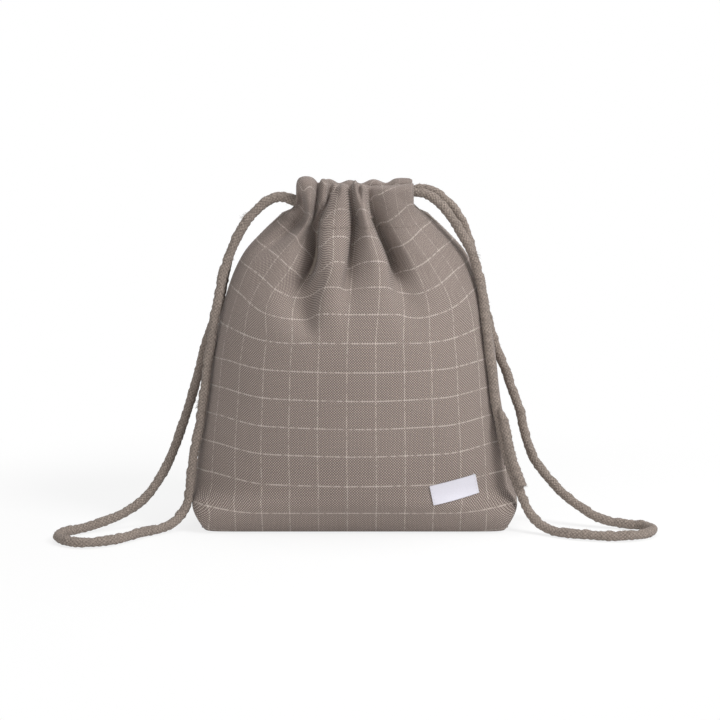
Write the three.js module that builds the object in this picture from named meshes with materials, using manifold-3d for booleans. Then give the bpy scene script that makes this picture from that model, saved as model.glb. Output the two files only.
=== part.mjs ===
// Drawstring treat pouch in checked cloth: two outer panels with boxed corners, a lining,
// a hemmed casing at the mouth and two drawcords that leave it as a loop on each side.
// Millimetres, +Z up, the front faces -Y, origin at the middle of the base on the floor.
import * as THREE from "three";
import { mergeVertices } from "three/addons/utils/BufferGeometryUtils.js";
import Module from "manifold-3d";

const wasm = await Module();
wasm.setup();

// Outline of the filled pouch: height, full width and full depth at each level.
const BASE_LENGTH = 160;
const BASE_DEPTH = 48;
const BULGE_HEIGHT = 14;
const BULGE_WIDTH = 178;
const BULGE_DEPTH = 66;
const HIP_HEIGHT = 45;
const HIP_WIDTH = 166;
const HIP_DEPTH = 85;
const BELLY_HEIGHT = 72;
const BELLY_WIDTH = 157;
const BELLY_DEPTH = 93;
const CHEST_HEIGHT = 100;
const CHEST_WIDTH = 151;
const CHEST_DEPTH = 95;
const SHOULDER_HEIGHT = 131;
const SHOULDER_WIDTH = 137;
const SHOULDER_DEPTH = 82;
const SLOPE_HEIGHT = 150;
const SLOPE_WIDTH = 119;
const SLOPE_DEPTH = 65;
const NECK_HEIGHT = 171;
const NECK_WIDTH = 73;
const NECK_DEPTH = 36;

// Cloth, lining and sewing.
const CLOTH = 1.0;
const LINING = 0.6;
const CLEARANCE = 0.3;
const ROUNDING_HEIGHT = 40;
const SEAM_WIDTH = 1.6;
const SEAM_DEPTH = 1.4;
const SIDE_RISE = 3;
const SIDE_RISE_SHARE = 0.07;
const LINING_DROP = 3;
const LINING_GAP = 1.9;
const THREAD = 0.6;
const STITCH_LIFT = 0.6;

// Gathers: they start shallow and wide, are deepest on the slope and shallower again at the neck.
// Each valley is a share of the panel's width from its left edge with its own width and depth shares.
const GATHER_START = 102;
const GATHER_HEIGHT = 146;
const GATHER_DEPTH = 14;
const GATHER_NECK_DEPTH = 7;
const GATHER_SPREAD = 1.4;
const FRONT_VALLEYS = [
  { at: 0.325, width: 0.04, depth: 1.0 },
  { at: 0.48, width: 0.027, depth: 0.57 },
  { at: 0.637, width: 0.04, depth: 0.78 },
];
const BACK_VALLEYS = [
  { at: 0.243, width: 0.038, depth: 0.54 },
  { at: 0.403, width: 0.03, depth: 0.7 },
  { at: 0.55, width: 0.029, depth: 0.57 },
  { at: 0.719, width: 0.036, depth: 0.64 },
];

// Drawcords and the casing that holds them, one above the other.
const CORD_DIAMETER = 5.2;
const CORD_GAP = 0.6;
const CORD_SIDES = 8;
const MOUTH_WIDTH = 63;
const CASING_SPREAD = 24;
const CASING_WALL = 1.2;
const CASING_HEIGHT = 19;
const CASING_DIP = 3;
const PLEAT_DEPTH = 1.6;
const PLEATS = 7;
const BORE_FROM_HEM = 2.4;
const LEAD_INSIDE = 21;
const LEAD_OUTSIDE = 10;
const BRIDGE_REACH = 6;

// Blank label on the lower right of the front, and the sewing on it and on the slits.
const LABEL_WIDTH = 26;
const LABEL_HEIGHT = 11.5;
const LABEL_THICKNESS = 0.6;
const LABEL_LIFT = 0.6;
const LABEL_FROM_CENTRE = 54;
const LABEL_FROM_FLOOR = 25;
const LABEL_TILT = 12;
const LABEL_STITCH_INSET = 1.2;
const BARTACK_LENGTH = 7;
const BARTACK_WIDTH = 1.6;
const BARTACK_FROM_SEAM = 3;
const TAIL_DIAMETER = 5.0;

// Facets.
const WALL_COLUMNS = 32;
const WALL_ROWS = 16;
const VALLEY_COLUMNS = [-1.8, -1.1, -0.5, 0, 0.5, 1.1, 1.8];
const LINING_COLUMNS = 20;
const LINING_ROWS = 12;
const CASING_STEPS = 28;
const LOOP_STEPS = 64;

// Places that follow from the sizes above.
const FRONT = -1;
const BACK = 1;
const LEFT = -1;
const RIGHT = 1;
const CORD_RADIUS = CORD_DIAMETER / 2;
const CORD_PITCH = CORD_DIAMETER + CORD_GAP;
const BORE_HALF = CORD_RADIUS + CORD_GAP;
const CASING_BOTTOM = NECK_HEIGHT + CLEARANCE;
const CASING_TOP = CASING_BOTTOM + CASING_HEIGHT;
const LEFT_LEVEL = CASING_BOTTOM + BORE_FROM_HEM + BORE_HALF;
const RIGHT_LEVEL = LEFT_LEVEL + CORD_PITCH;
const CASING_END = MOUTH_WIDTH / 2;
const LEAD_END = CASING_END + LEAD_OUTSIDE;
const PIVOT_X = LEAD_END + CLEARANCE + CORD_RADIUS;
const CASING_Y = CASING_SPREAD / 2;

const STATIONS = [
  { height: 0, width: BASE_LENGTH, depth: BASE_DEPTH },
  { height: BULGE_HEIGHT, width: BULGE_WIDTH, depth: BULGE_DEPTH },
  { height: HIP_HEIGHT, width: HIP_WIDTH, depth: HIP_DEPTH },
  { height: BELLY_HEIGHT, width: BELLY_WIDTH, depth: BELLY_DEPTH },
  { height: CHEST_HEIGHT, width: CHEST_WIDTH, depth: CHEST_DEPTH },
  { height: SHOULDER_HEIGHT, width: SHOULDER_WIDTH, depth: SHOULDER_DEPTH },
  { height: SLOPE_HEIGHT, width: SLOPE_WIDTH, depth: SLOPE_DEPTH },
  { height: NECK_HEIGHT + SIDE_RISE, width: NECK_WIDTH, depth: NECK_DEPTH },
];

// Free loops, from the pivot of the front strand round to the pivot of the back strand.
// Points between the two pivots are chosen by hand along the route that the cord hangs in.
const LEFT_ROUTE = [
  [-52, -12, 171.5],
  [-60, -11, 160.5],
  [-67, -10, 145.5],
  [-72.8, -9.5, 131.5],
  [-76.5, -9, 115],
  [-79.4, -9, 101],
  [-82, -9.5, 86],
  [-84.4, -10, 72],
  [-87.2, -11, 57],
  [-89.6, -12, 44.5],
  [-92, -13, 30],
  [-94, -15, 16.5],
  [-97, -19, 8.5],
  [-103, -24, 3.6],
  [-111, -31, 2.7],
  [-121, -45, 2.7],
  [-132, -55, 2.7],
  [-143, -57, 2.7],
  [-152.5, -52, 2.7],
  [-157, -43, 2.7],
  [-155, -34, 2.7],
  [-148, -27, 2.9],
  [-138, -20, 4.6],
  [-126.5, -12, 8],
  [-115.6, -6, 15],
  [-106.2, -2, 27.8],
  [-100.2, 0, 40.3],
  [-94.6, 2, 55.9],
  [-89.7, 4, 71],
  [-86.1, 5.5, 84],
  [-82, 6.5, 101.7],
  [-78.6, 7.5, 116],
  [-74, 8.5, 131.5],
  [-68, 9.5, 146],
  [-61, 10.8, 160],
  [-53, 11.8, 171],
];
const RIGHT_ROUTE = [
  [51.5, -12.3, 177.5],
  [57.6, -13, 167.5],
  [63, -14, 153.5],
  [67.2, -15, 139],
  [70.4, -16, 123.5],
  [73.2, -17, 106],
  [75.6, -18, 88],
  [78, -18.5, 68],
  [81, -19, 53],
  [84.5, -19.5, 40],
  [88.5, -20, 27],
  [92.5, -22, 15.5],
  [97, -25, 7.6],
  [104, -30, 3.2],
  [114, -37, 2.7],
  [128, -42, 2.7],
  [142.5, -43, 2.7],
  [154, -38, 2.7],
  [160, -28.5, 2.7],
  [156, -19, 2.7],
  [145, -15, 2.9],
  [134, -12, 5.2],
  [123, -8, 10.8],
  [112, -4, 19.9],
  [102.4, -1, 30.5],
  [96, 1, 41.7],
  [91.9, 2.5, 52.8],
  [89, 3.5, 64],
  [85.2, 4.5, 76.7],
  [82.2, 5.5, 87.3],
  [79.4, 6.5, 99],
  [75.9, 7.5, 115],
  [72.2, 8.5, 131],
  [67.4, 9.5, 147.5],
  [64.2, 10.3, 158],
  [59.4, 11.2, 168.5],
  [52.6, 11.8, 177.5],
];
// Cut end of the right cord, which lies beside four points of its front strand.
const TAIL_START = 7;
const TAIL_END = 11;
const TAIL_ACROSS = 4;
const TAIL_FORWARD = 4;
const besideStrand = ([x, y, z]) => [x + TAIL_ACROSS, y - TAIL_FORWARD, z];

const OUTER_CLOTH = { color: 0x8f827c, roughness: 0.95, metalness: 0 };
const LINING_CLOTH = { color: 0xa69a8f, roughness: 0.9, metalness: 0 };
const CORD_COTTON = { color: 0x867c74, roughness: 1, metalness: 0 };
const SEWING_THREAD = { color: 0x9a8f86, roughness: 0.9, metalness: 0 };
const LABEL_SATIN = { color: 0xe4e2ea, roughness: 0.7, metalness: 0 };

const smooth = (low, high, value) => THREE.MathUtils.smoothstep(value, low, high);

// Smooth value of one column of the stations at a height, with slopes from the neighbours.
function outlineAt(key, height) {
  const last = STATIONS.length - 2;
  let i = STATIONS.findIndex((s, k) => k <= last && height <= STATIONS[k + 1].height);
  if (i < 0) i = last;
  const slope = (k) => {
    const low = STATIONS[Math.max(k - 1, 0)];
    const high = STATIONS[Math.min(k + 1, STATIONS.length - 1)];
    return (high[key] - low[key]) / (high.height - low.height);
  };
  const [p, q] = [STATIONS[i], STATIONS[i + 1]];
  const span = q.height - p.height;
  const t = THREE.MathUtils.clamp((height - p.height) / span, 0, 1);
  const t2 = t * t;
  const t3 = t2 * t;
  return (
    (2 * t3 - 3 * t2 + 1) * p[key] +
    (t3 - 2 * t2 + t) * span * slope(i) +
    (3 * t2 - 2 * t3) * q[key] +
    (t3 - t2) * span * slope(i + 1)
  );
}

// Half section of a box or an ellipse, walked evenly from its left end to its right end.
function boxHalf(halfWidth, halfDepth, share) {
  const walked = share * (2 * halfWidth + 2 * halfDepth);
  if (walked < halfDepth) return new THREE.Vector2(-halfWidth, walked);
  const past = walked - halfDepth - 2 * halfWidth;
  if (past > 0) return new THREE.Vector2(halfWidth, halfDepth - past);
  return new THREE.Vector2(walked - halfDepth - halfWidth, halfDepth);
}

const ellipses = new Map();
function ellipseHalf(halfWidth, halfDepth, share) {
  const key = `${halfWidth.toFixed(4)},${halfDepth.toFixed(4)}`;
  if (!ellipses.has(key)) {
    ellipses.set(key, new THREE.EllipseCurve(0, 0, halfWidth, halfDepth, Math.PI, 0, true));
  }
  return ellipses.get(key).getPointAt(THREE.MathUtils.clamp(share, 0, 1));
}

const valleysOf = (side) => (side === FRONT ? FRONT_VALLEYS : BACK_VALLEYS);

// How far a gather pulls the wall in at one place of a panel.
function gatherAt(side, share, height) {
  const grown = smooth(GATHER_START, GATHER_HEIGHT, height);
  const past = smooth(GATHER_HEIGHT, NECK_HEIGHT, height);
  const deepest = grown * THREE.MathUtils.lerp(GATHER_DEPTH, GATHER_NECK_DEPTH, past);
  const spread = THREE.MathUtils.lerp(GATHER_SPREAD, 1, grown);
  const pull = valleysOf(side).reduce((sum, v) => {
    const away = (share - v.at) / (v.width * spread);
    return sum + v.depth * Math.exp(-away * away);
  }, 0);
  return deepest * pull;
}

// A point of the pouch's outer wall.
function wallPoint(side, share, height) {
  const halfWidth = outlineAt("width", height) / 2;
  const halfDepth = outlineAt("depth", height) / 2;
  const boxed = boxHalf(halfWidth, halfDepth, share);
  const rounded = ellipseHalf(halfWidth, halfDepth, share);
  const place = boxed.lerp(rounded, smooth(0, ROUNDING_HEIGHT, height));
  const pulledDepth = Math.max(place.y - gatherAt(side, share, height), 0);
  return new THREE.Vector3(place.x, side * pulledDepth, height);
}

// Outward normal of the wall, from its slopes across and up.
function wallNormal(side, share, height) {
  const step = 0.004;
  const rise = 0.5;
  const low = Math.max(share - step, 0);
  const high = Math.min(share + step, 1);
  const down = Math.max(height - rise, 0);
  const across = wallPoint(side, high, height).sub(wallPoint(side, low, height));
  const above = wallPoint(side, share, down + 2 * rise);
  const up = above.sub(wallPoint(side, share, down));
  const normal = side === FRONT ? across.cross(up) : up.cross(across);
  return normal.normalize();
}

// A place off the wall: depth is how far inside the outer face it lies.
function insideWall(side, share, height, depth) {
  const place = wallPoint(side, share, height);
  return place.addScaledVector(wallNormal(side, share, height), -depth);
}

// Share of a panel's width that its seam takes at a height.
function seamShare(height) {
  const halfWidth = outlineAt("width", height) / 2;
  const halfDepth = outlineAt("depth", height) / 2;
  const along = smooth(0, ROUNDING_HEIGHT, height);
  const boxed = 2 * halfWidth + 2 * halfDepth;
  const rounded = (Math.PI * (halfWidth + halfDepth)) / 2;
  return (SEAM_WIDTH / 2 + CLEARANCE) / THREE.MathUtils.lerp(boxed, rounded, along);
}

// The panel's top edge is level under the casing and rises a little at the side slits.
function topEdge(share) {
  const fromSide = Math.min(share, 1 - share);
  return NECK_HEIGHT + SIDE_RISE * (1 - smooth(0, SIDE_RISE_SHARE, fromSide));
}

function meshOf(name, geometry, finish) {
  const mesh = new THREE.Mesh(geometry, new THREE.MeshStandardMaterial(finish));
  mesh.name = name;
  return mesh;
}

// Closed solid between two grids of points, grid[row][column], with its rim closed.
function sheetSolid(outer, inner) {
  const rows = outer.length;
  const columns = outer[0].length;
  const positions = [...outer.flat(), ...inner.flat()].flatMap((p) => p.toArray());
  const at = (layer, row, column) => layer * rows * columns + row * columns + column;
  const faces = [];
  const quad = (a, b, c, d) => faces.push(a, b, c, a, c, d);
  for (let r = 0; r < rows - 1; r++) {
    for (let c = 0; c < columns - 1; c++) {
      quad(at(0, r, c), at(0, r, c + 1), at(0, r + 1, c + 1), at(0, r + 1, c));
      quad(at(1, r, c), at(1, r + 1, c), at(1, r + 1, c + 1), at(1, r, c + 1));
    }
  }
  for (let c = 0; c < columns - 1; c++) {
    quad(at(0, 0, c + 1), at(0, 0, c), at(1, 0, c), at(1, 0, c + 1));
    quad(at(0, rows - 1, c), at(0, rows - 1, c + 1), at(1, rows - 1, c + 1), at(1, rows - 1, c));
  }
  for (let r = 0; r < rows - 1; r++) {
    quad(at(0, r, 0), at(0, r + 1, 0), at(1, r + 1, 0), at(1, r, 0));
    const last = columns - 1;
    quad(at(0, r + 1, last), at(0, r, last), at(1, r, last), at(1, r + 1, last));
  }
  return new THREE.BufferGeometry()
    .setAttribute("position", new THREE.Float32BufferAttribute(positions, 3))
    .setIndex(faces);
}

// Closed solid through a row of rings with equal counts of points, and its ends closed flat.
function loftSolid(rings) {
  const count = rings[0].length;
  const positions = rings.flat().flatMap((p) => p.toArray());
  const faces = [];
  for (let r = 0; r < rings.length - 1; r++) {
    for (let k = 0; k < count; k++) {
      const next = (k + 1) % count;
      const [a, b] = [r * count + k, r * count + next];
      faces.push(a, b, b + count, a, b + count, a + count);
    }
  }
  const end = (rings.length - 1) * count;
  for (let k = 1; k < count - 1; k++) {
    faces.push(0, k + 1, k, end, end + k, end + k + 1);
  }
  return new THREE.BufferGeometry()
    .setAttribute("position", new THREE.Float32BufferAttribute(positions, 3))
    .setIndex(faces);
}

// The geometry as a solid for joins and cuts, turned right way out.
function solidOf(geometry) {
  const bare = geometry.clone();
  bare.deleteAttribute("normal");
  bare.deleteAttribute("uv");
  const merged = mergeVertices(bare, 1e-4);
  const triVerts = new Uint32Array(merged.index.array);
  const vertProperties = merged.attributes.position.array;
  const build = () => new wasm.Manifold(new wasm.Mesh({ numProp: 3, vertProperties, triVerts }));
  const solid = build();
  if (solid.volume() >= 0) return solid;
  triVerts.reverse();
  return build();
}

function geometryOf(solid) {
  const made = solid.getMesh();
  return new THREE.BufferGeometry()
    .setAttribute("position", new THREE.BufferAttribute(made.vertProperties, 3))
    .setIndex(new THREE.BufferAttribute(made.triVerts, 1));
}

const outward = (geometry) => geometryOf(solidOf(geometry));
const joined = (...geometries) => geometryOf(geometries.map(solidOf).reduce((a, b) => a.add(b)));

const steps = (count) => Array.from({ length: count + 1 }, (_, k) => k / count);

// Columns of a wall lie close together across each valley and evenly spaced beside the valleys.
function columnsOf(side, count) {
  const valleys = valleysOf(side);
  const reach = VALLEY_COLUMNS.at(-1);
  const across = valleys.flatMap((v) => VALLEY_COLUMNS.map((k) => v.at + k * v.width));
  const beside = steps(count).filter((share) =>
    valleys.every((v) => Math.abs(share - v.at) > reach * v.width + 0.5 / count),
  );
  return [...across, ...beside].sort((a, b) => a - b);
}

// Rows of a wall lie closer together at the base and at the neck, where it curves most.
const rowShare = (t) => THREE.MathUtils.lerp(t, 0.5 - 0.5 * Math.cos(Math.PI * t), 0.6);

// Wall of one panel between two depths under the outer face, from a low edge up to its top edge.
function panelWall(side, { outerDepth, innerDepth, low, drop, columns, rows }) {
  const alongs = columnsOf(side, columns);
  const layer = (depth) =>
    steps(rows).map((up) =>
      alongs.map((along) => {
        const height = THREE.MathUtils.lerp(low, topEdge(along) - drop, rowShare(up));
        const trim = seamShare(height);
        const share = THREE.MathUtils.lerp(trim, 1 - trim, along);
        const place = insideWall(side, share, height, depth);
        return up === 0 ? place.setZ(low) : place;
      }),
    );
  return outward(sheetSolid(layer(outerDepth), layer(innerDepth)));
}

// Half of the flat base that a panel turns under, from the middle of its wall to the bottom seam.
function panelFloor(side, inset, bottom, thickness) {
  const length = 2 * Math.abs(insideWall(side, 0, bottom, inset).x);
  const depth = Math.abs(insideWall(side, 0.5, bottom, inset).y);
  const nearSeam = SEAM_WIDTH / 2 + CLEARANCE;
  const plate = new THREE.BoxGeometry(length, depth - nearSeam, thickness);
  return plate.translate(0, (side * (depth + nearSeam)) / 2, bottom + thickness / 2);
}

function outerPanel(name, side) {
  const wall = panelWall(side, {
    outerDepth: 0,
    innerDepth: CLOTH,
    low: 0,
    drop: 0,
    columns: WALL_COLUMNS,
    rows: WALL_ROWS,
  });
  return meshOf(name, joined(wall, panelFloor(side, CLOTH / 2, 0, CLOTH)), OUTER_CLOTH);
}

function liningPanel(name, side) {
  const bottom = CLOTH + CLEARANCE;
  const depth = CLOTH + LINING_GAP;
  const wall = panelWall(side, {
    outerDepth: depth,
    innerDepth: depth + LINING,
    low: bottom,
    drop: LINING_DROP,
    columns: LINING_COLUMNS,
    rows: LINING_ROWS,
  });
  const floor = panelFloor(side, depth + LINING / 2, bottom, LINING);
  return meshOf(name, joined(wall, floor), LINING_CLOTH);
}

// Sewn side seam that joins the two panels' edges, from the base to the foot of the slit.
function sideSeam(name, hand) {
  const top = topEdge(0);
  const low = CLOTH + CLEARANCE;
  const rings = Array.from({ length: WALL_ROWS + 1 }, (_, r) => {
    const height = THREE.MathUtils.lerp(low, top, rowShare(r / WALL_ROWS));
    const outside = outlineAt("width", height) / 2;
    const corner = (inset, y) => new THREE.Vector3(hand * (outside - inset), y, height);
    const half = SEAM_WIDTH / 2;
    return [corner(0, -half), corner(0, half), corner(SEAM_DEPTH, half), corner(SEAM_DEPTH, -half)];
  });
  return meshOf(name, outward(loftSolid(rings)), SEWING_THREAD);
}

// Seam along the middle of the base, where the two panels meet under the pouch.
function bottomSeam() {
  const seam = new THREE.BoxGeometry(BASE_LENGTH - 2 * CLOTH, SEAM_WIDTH, CLOTH - CLEARANCE);
  seam.translate(0, 0, CLEARANCE + (CLOTH - CLEARANCE) / 2);
  return meshOf("bottom_seam", seam, SEWING_THREAD);
}

// Short seam across each boxed corner, at the foot of the side wall.
function cornerSeam(name, hand) {
  const length = BASE_DEPTH - 4 * CLOTH;
  const reach = outlineAt("width", 2 * CLEARANCE + 2 * THREAD) / 2 + CLEARANCE + THREAD / 2;
  const bead = new THREE.CylinderGeometry(THREAD / 2, THREAD / 2, length, CORD_SIDES);
  bead.translate(hand * reach, 0, CLEARANCE + THREAD / 2);
  return meshOf(name, bead, SEWING_THREAD);
}

// Thin patch that lies on the wall, from a grid of places given as share and height.
function patch(name, side, places, lift, thickness, finish) {
  const raised = (off) => (place) => insideWall(side, ...place, -off);
  const layer = (off) => places.map((row) => row.map(raised(off)));
  return meshOf(name, outward(sheetSolid(layer(lift + thickness), layer(lift))), finish);
}

const gridOf = (rows, columns, place) =>
  steps(rows).map((up) => steps(columns).map((across) => place(up, across)));

// Share of the front panel's width at a distance right of its middle, at a height.
function shareAcross(distance, height) {
  const halfWidth = outlineAt("width", height) / 2;
  const halfDepth = outlineAt("depth", height) / 2;
  const along = smooth(0, ROUNDING_HEIGHT, height);
  const boxed = 2 * halfWidth + 2 * halfDepth;
  const rounded = (Math.PI * (halfWidth + halfDepth)) / 2;
  return 0.5 + distance / THREE.MathUtils.lerp(boxed, rounded, along);
}

// Places of a tilted rectangle on the lower right of the front.
function labelPlaces(left, right, halfHeight, columns) {
  const tilt = THREE.MathUtils.degToRad(LABEL_TILT);
  return gridOf(3, columns, (up, across) => {
    const x = THREE.MathUtils.lerp(left, right, across);
    const z = THREE.MathUtils.lerp(-halfHeight, halfHeight, up);
    const height = LABEL_FROM_FLOOR + x * Math.sin(tilt) + z * Math.cos(tilt);
    const distance = LABEL_FROM_CENTRE + x * Math.cos(tilt) - z * Math.sin(tilt);
    return [shareAcross(distance, height), height];
  });
}

function label() {
  const half = LABEL_WIDTH / 2;
  const places = labelPlaces(-half, half, LABEL_HEIGHT / 2, 6);
  return patch("label", FRONT, places, LABEL_LIFT, LABEL_THICKNESS, LABEL_SATIN);
}

function labelStitch(name, hand) {
  const middle = hand * (LABEL_WIDTH / 2 - LABEL_STITCH_INSET);
  const places = labelPlaces(middle - THREAD / 2, middle + THREAD / 2, LABEL_HEIGHT / 2 - THREAD, 1);
  const lift = LABEL_LIFT + LABEL_THICKNESS + CLEARANCE;
  return patch(name, FRONT, places, lift, THREAD, SEWING_THREAD);
}

// Row of sewing under the casing, all the way across one panel.
function casingStitch(name, side) {
  const middle = NECK_HEIGHT - 3 * THREAD;
  const ends = [2 * SIDE_RISE_SHARE, 1 - 2 * SIDE_RISE_SHARE];
  const between = columnsOf(side, WALL_COLUMNS).filter((share) => share > ends[0] && share < ends[1]);
  const columns = [ends[0], ...between, ends[1]];
  const places = steps(1).map((up) => columns.map((share) => [share, middle + THREAD * (up - 0.5)]));
  return patch(name, side, places, STITCH_LIFT, THREAD, SEWING_THREAD);
}

// Bar tack beside the foot of a side slit.
function bartack(name, side, hand) {
  const seamTop = NECK_HEIGHT;
  const places = gridOf(2, 1, (up, across) => {
    const height = seamTop - BARTACK_LENGTH * (1 - up) * 0.7;
    const girth = (Math.PI * (outlineAt("width", height) + outlineAt("depth", height))) / 4;
    const fromSeam = (BARTACK_FROM_SEAM + BARTACK_WIDTH * (across - 0.5)) / girth;
    return [hand === LEFT ? fromSeam : 1 - fromSeam, height];
  });
  return patch(name, side, places, CLEARANCE, THREAD, SEWING_THREAD);
}

// Upright stadium in the YZ plane: two half circles joined by straight sides.
function stadium(x, y, low, high, half) {
  const steps = CORD_SIDES / 2;
  const arc = (centre, start) =>
    Array.from({ length: steps + 1 }, (_, k) => {
      const angle = start + (Math.PI * k) / steps;
      return new THREE.Vector3(x, y + half * Math.cos(angle), centre + half * Math.sin(angle));
    });
  return [...arc(high - half, 0), ...arc(low + half, Math.PI)];
}

// Hemmed casing of one panel: a gathered tube along the mouth with a bore for both cords.
function casing(name, side) {
  const y = side * CASING_Y;
  const boreLow = LEFT_LEVEL - BORE_HALF;
  const boreHigh = RIGHT_LEVEL + BORE_HALF;
  const outer = steps(CASING_STEPS).map((t) => {
    const wave = 0.5 + 0.5 * Math.cos(2 * Math.PI * PLEATS * t);
    const half = BORE_HALF + CASING_WALL + PLEAT_DEPTH * wave;
    const dip = CASING_DIP * Math.sin(Math.PI * t) ** 2 + (1 - wave);
    return stadium(MOUTH_WIDTH * (t - 0.5), y, CASING_BOTTOM, CASING_TOP - dip, half);
  });
  const bore = [LEFT, RIGHT].map((hand) => {
    return stadium(hand * (CASING_END + CLOTH), y, boreLow, boreHigh, BORE_HALF);
  });
  const body = solidOf(loftSolid(outer));
  const tunnel = solidOf(loftSolid(bore));
  return meshOf(name, geometryOf(body.subtract(tunnel)), OUTER_CLOTH);
}

// Round cord along a smooth route.
function cordAlong(points, diameter, count) {
  const places = points.map((p) => new THREE.Vector3(...p));
  const route = new THREE.CatmullRomCurve3(places, false, "centripetal");
  const round = new THREE.EllipseCurve(0, 0, diameter / 2, diameter / 2);
  const section = new THREE.Shape(round.getPoints(CORD_SIDES).slice(1));
  return new THREE.ExtrudeGeometry(section, { steps: count, extrudePath: route, bevelEnabled: false });
}

// Straight lead of a cord: it slides in the casing and ends just short of the loop's pivot.
function lead(name, side, hand, level) {
  const inner = CASING_END - LEAD_INSIDE;
  const length = LEAD_END - inner;
  const cord = new THREE.CylinderGeometry(CORD_RADIUS, CORD_RADIUS, length, 2 * CORD_SIDES);
  const mesh = meshOf(name, cord, CORD_COTTON);
  mesh.rotation.z = Math.PI / 2;
  mesh.position.set((hand * (inner + LEAD_END)) / 2, side * CASING_Y, level);
  return mesh;
}

// Part of a cord that stays in the casing: along the front, round the far side and along the back.
function casingRun(name, hand, level) {
  const start = hand * (CASING_END - LEAD_INSIDE - CLEARANCE);
  const far = -hand * CASING_END;
  const along = (t) => [THREE.MathUtils.lerp(start, far, t), -CASING_Y, level];
  const straight = [0, 0.3, 0.6, 0.9].map(along);
  const turn = steps(4).map((t) => {
    const angle = (Math.PI / 2) * t;
    const out = far - hand * BRIDGE_REACH * Math.sin(angle);
    return [out, -CASING_Y + BRIDGE_REACH * (1 - Math.cos(angle)), level];
  });
  const frontHalf = [...straight, ...turn];
  const backHalf = frontHalf.map(([x, y, z]) => [x, -y, z]).reverse();
  const points = [...frontHalf, ...backHalf];
  return meshOf(name, outward(cordAlong(points, CORD_DIAMETER, 40)), CORD_COTTON);
}

// Free loop of a cord. Its ends are round, so that it turns in front of the leads.
function freeLoop(name, hand, level, route) {
  const pivots = [FRONT, BACK].map((side) => [hand * PIVOT_X, side * CASING_Y, level]);
  const cord = cordAlong([pivots[0], ...route, pivots[1]], CORD_DIAMETER, LOOP_STEPS);
  const ball = new THREE.SphereGeometry(CORD_RADIUS, 2 * CORD_SIDES, CORD_SIDES);
  const ends = pivots.map((p) => ball.clone().translate(...p));
  return meshOf(name, joined(cord, ...ends), CORD_COTTON);
}

// Cut end of the right cord, beside the strand it is sewn to.
function cordTail(name) {
  const points = RIGHT_ROUTE.slice(TAIL_START, TAIL_END).map(besideStrand);
  return meshOf(name, outward(cordAlong(points, TAIL_DIAMETER, 8)), CORD_COTTON);
}

// Row of sewing in the groove between the strand and the cut end, on the side towards the pouch.
function tailSeam(name) {
  const strand = RIGHT_ROUTE.slice(TAIL_START, TAIL_END - 1).map((p) => new THREE.Vector3(...p));
  const apart = new THREE.Vector3(TAIL_ACROSS, -TAIL_FORWARD, 0);
  const along = strand.at(-1).clone().sub(strand[0]).normalize();
  const across = apart.clone().addScaledVector(along, -apart.dot(along));
  const reach = CORD_RADIUS + THREAD / 2 + 2 * CLEARANCE;
  const groove = Math.sqrt(reach ** 2 - across.lengthSq() / 4);
  const inward = new THREE.Vector3().crossVectors(along, across).setLength(groove);
  const points = strand.map((p) => p.addScaledVector(apart, 0.5).add(inward).toArray());
  return meshOf(name, outward(cordAlong(points, THREAD, 8)), SEWING_THREAD);
}

const groupOf = (...members) => new THREE.Group().add(...members);

const shell = groupOf(
  outerPanel("front_panel", FRONT),
  outerPanel("back_panel", BACK),
  sideSeam("left_side_seam", LEFT),
  sideSeam("right_side_seam", RIGHT),
  bottomSeam(),
  cornerSeam("left_corner_seam", LEFT),
  cornerSeam("right_corner_seam", RIGHT),
);
const lining = groupOf(liningPanel("front_lining", FRONT), liningPanel("back_lining", BACK));
const mouth = groupOf(
  casing("front_casing", FRONT),
  casing("back_casing", BACK),
  casingStitch("front_casing_stitch", FRONT),
  casingStitch("back_casing_stitch", BACK),
  bartack("front_left_bartack", FRONT, LEFT),
  bartack("front_right_bartack", FRONT, RIGHT),
  bartack("back_left_bartack", BACK, LEFT),
  bartack("back_right_bartack", BACK, RIGHT),
);
const sewnLabel = groupOf(
  label(),
  labelStitch("label_left_stitch", LEFT),
  labelStitch("label_right_stitch", RIGHT),
);
const leftDrawcord = groupOf(
  casingRun("left_drawcord_run", LEFT, LEFT_LEVEL),
  lead("left_drawcord_front_lead", FRONT, LEFT, LEFT_LEVEL),
  lead("left_drawcord_back_lead", BACK, LEFT, LEFT_LEVEL),
  freeLoop("left_drawcord_loop", LEFT, LEFT_LEVEL, LEFT_ROUTE),
);
const rightDrawcord = groupOf(
  casingRun("right_drawcord_run", RIGHT, RIGHT_LEVEL),
  lead("right_drawcord_front_lead", FRONT, RIGHT, RIGHT_LEVEL),
  lead("right_drawcord_back_lead", BACK, RIGHT, RIGHT_LEVEL),
  freeLoop("right_drawcord_loop", RIGHT, RIGHT_LEVEL, RIGHT_ROUTE),
  cordTail("right_drawcord_tail"),
  tailSeam("right_tail_seam"),
);

export default groupOf(shell, lining, mouth, sewnLabel, leftDrawcord, rightDrawcord);
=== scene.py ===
"""Looks of the drawstring treat pouch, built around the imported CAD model.

The outer cloth is simulated, the drawcords are braided tubes along their measured routes, and the
sewing and the label are modelled on the cloth. Lengths are metres in the CAD frame: +Z is up and
the front faces -Y.
"""
import logging
import math
from collections.abc import Sequence
from dataclasses import dataclass, field
from enum import Enum

import bpy
import numpy as np
from mathutils import Matrix, Vector
from mathutils.bvhtree import BVHTree


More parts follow.
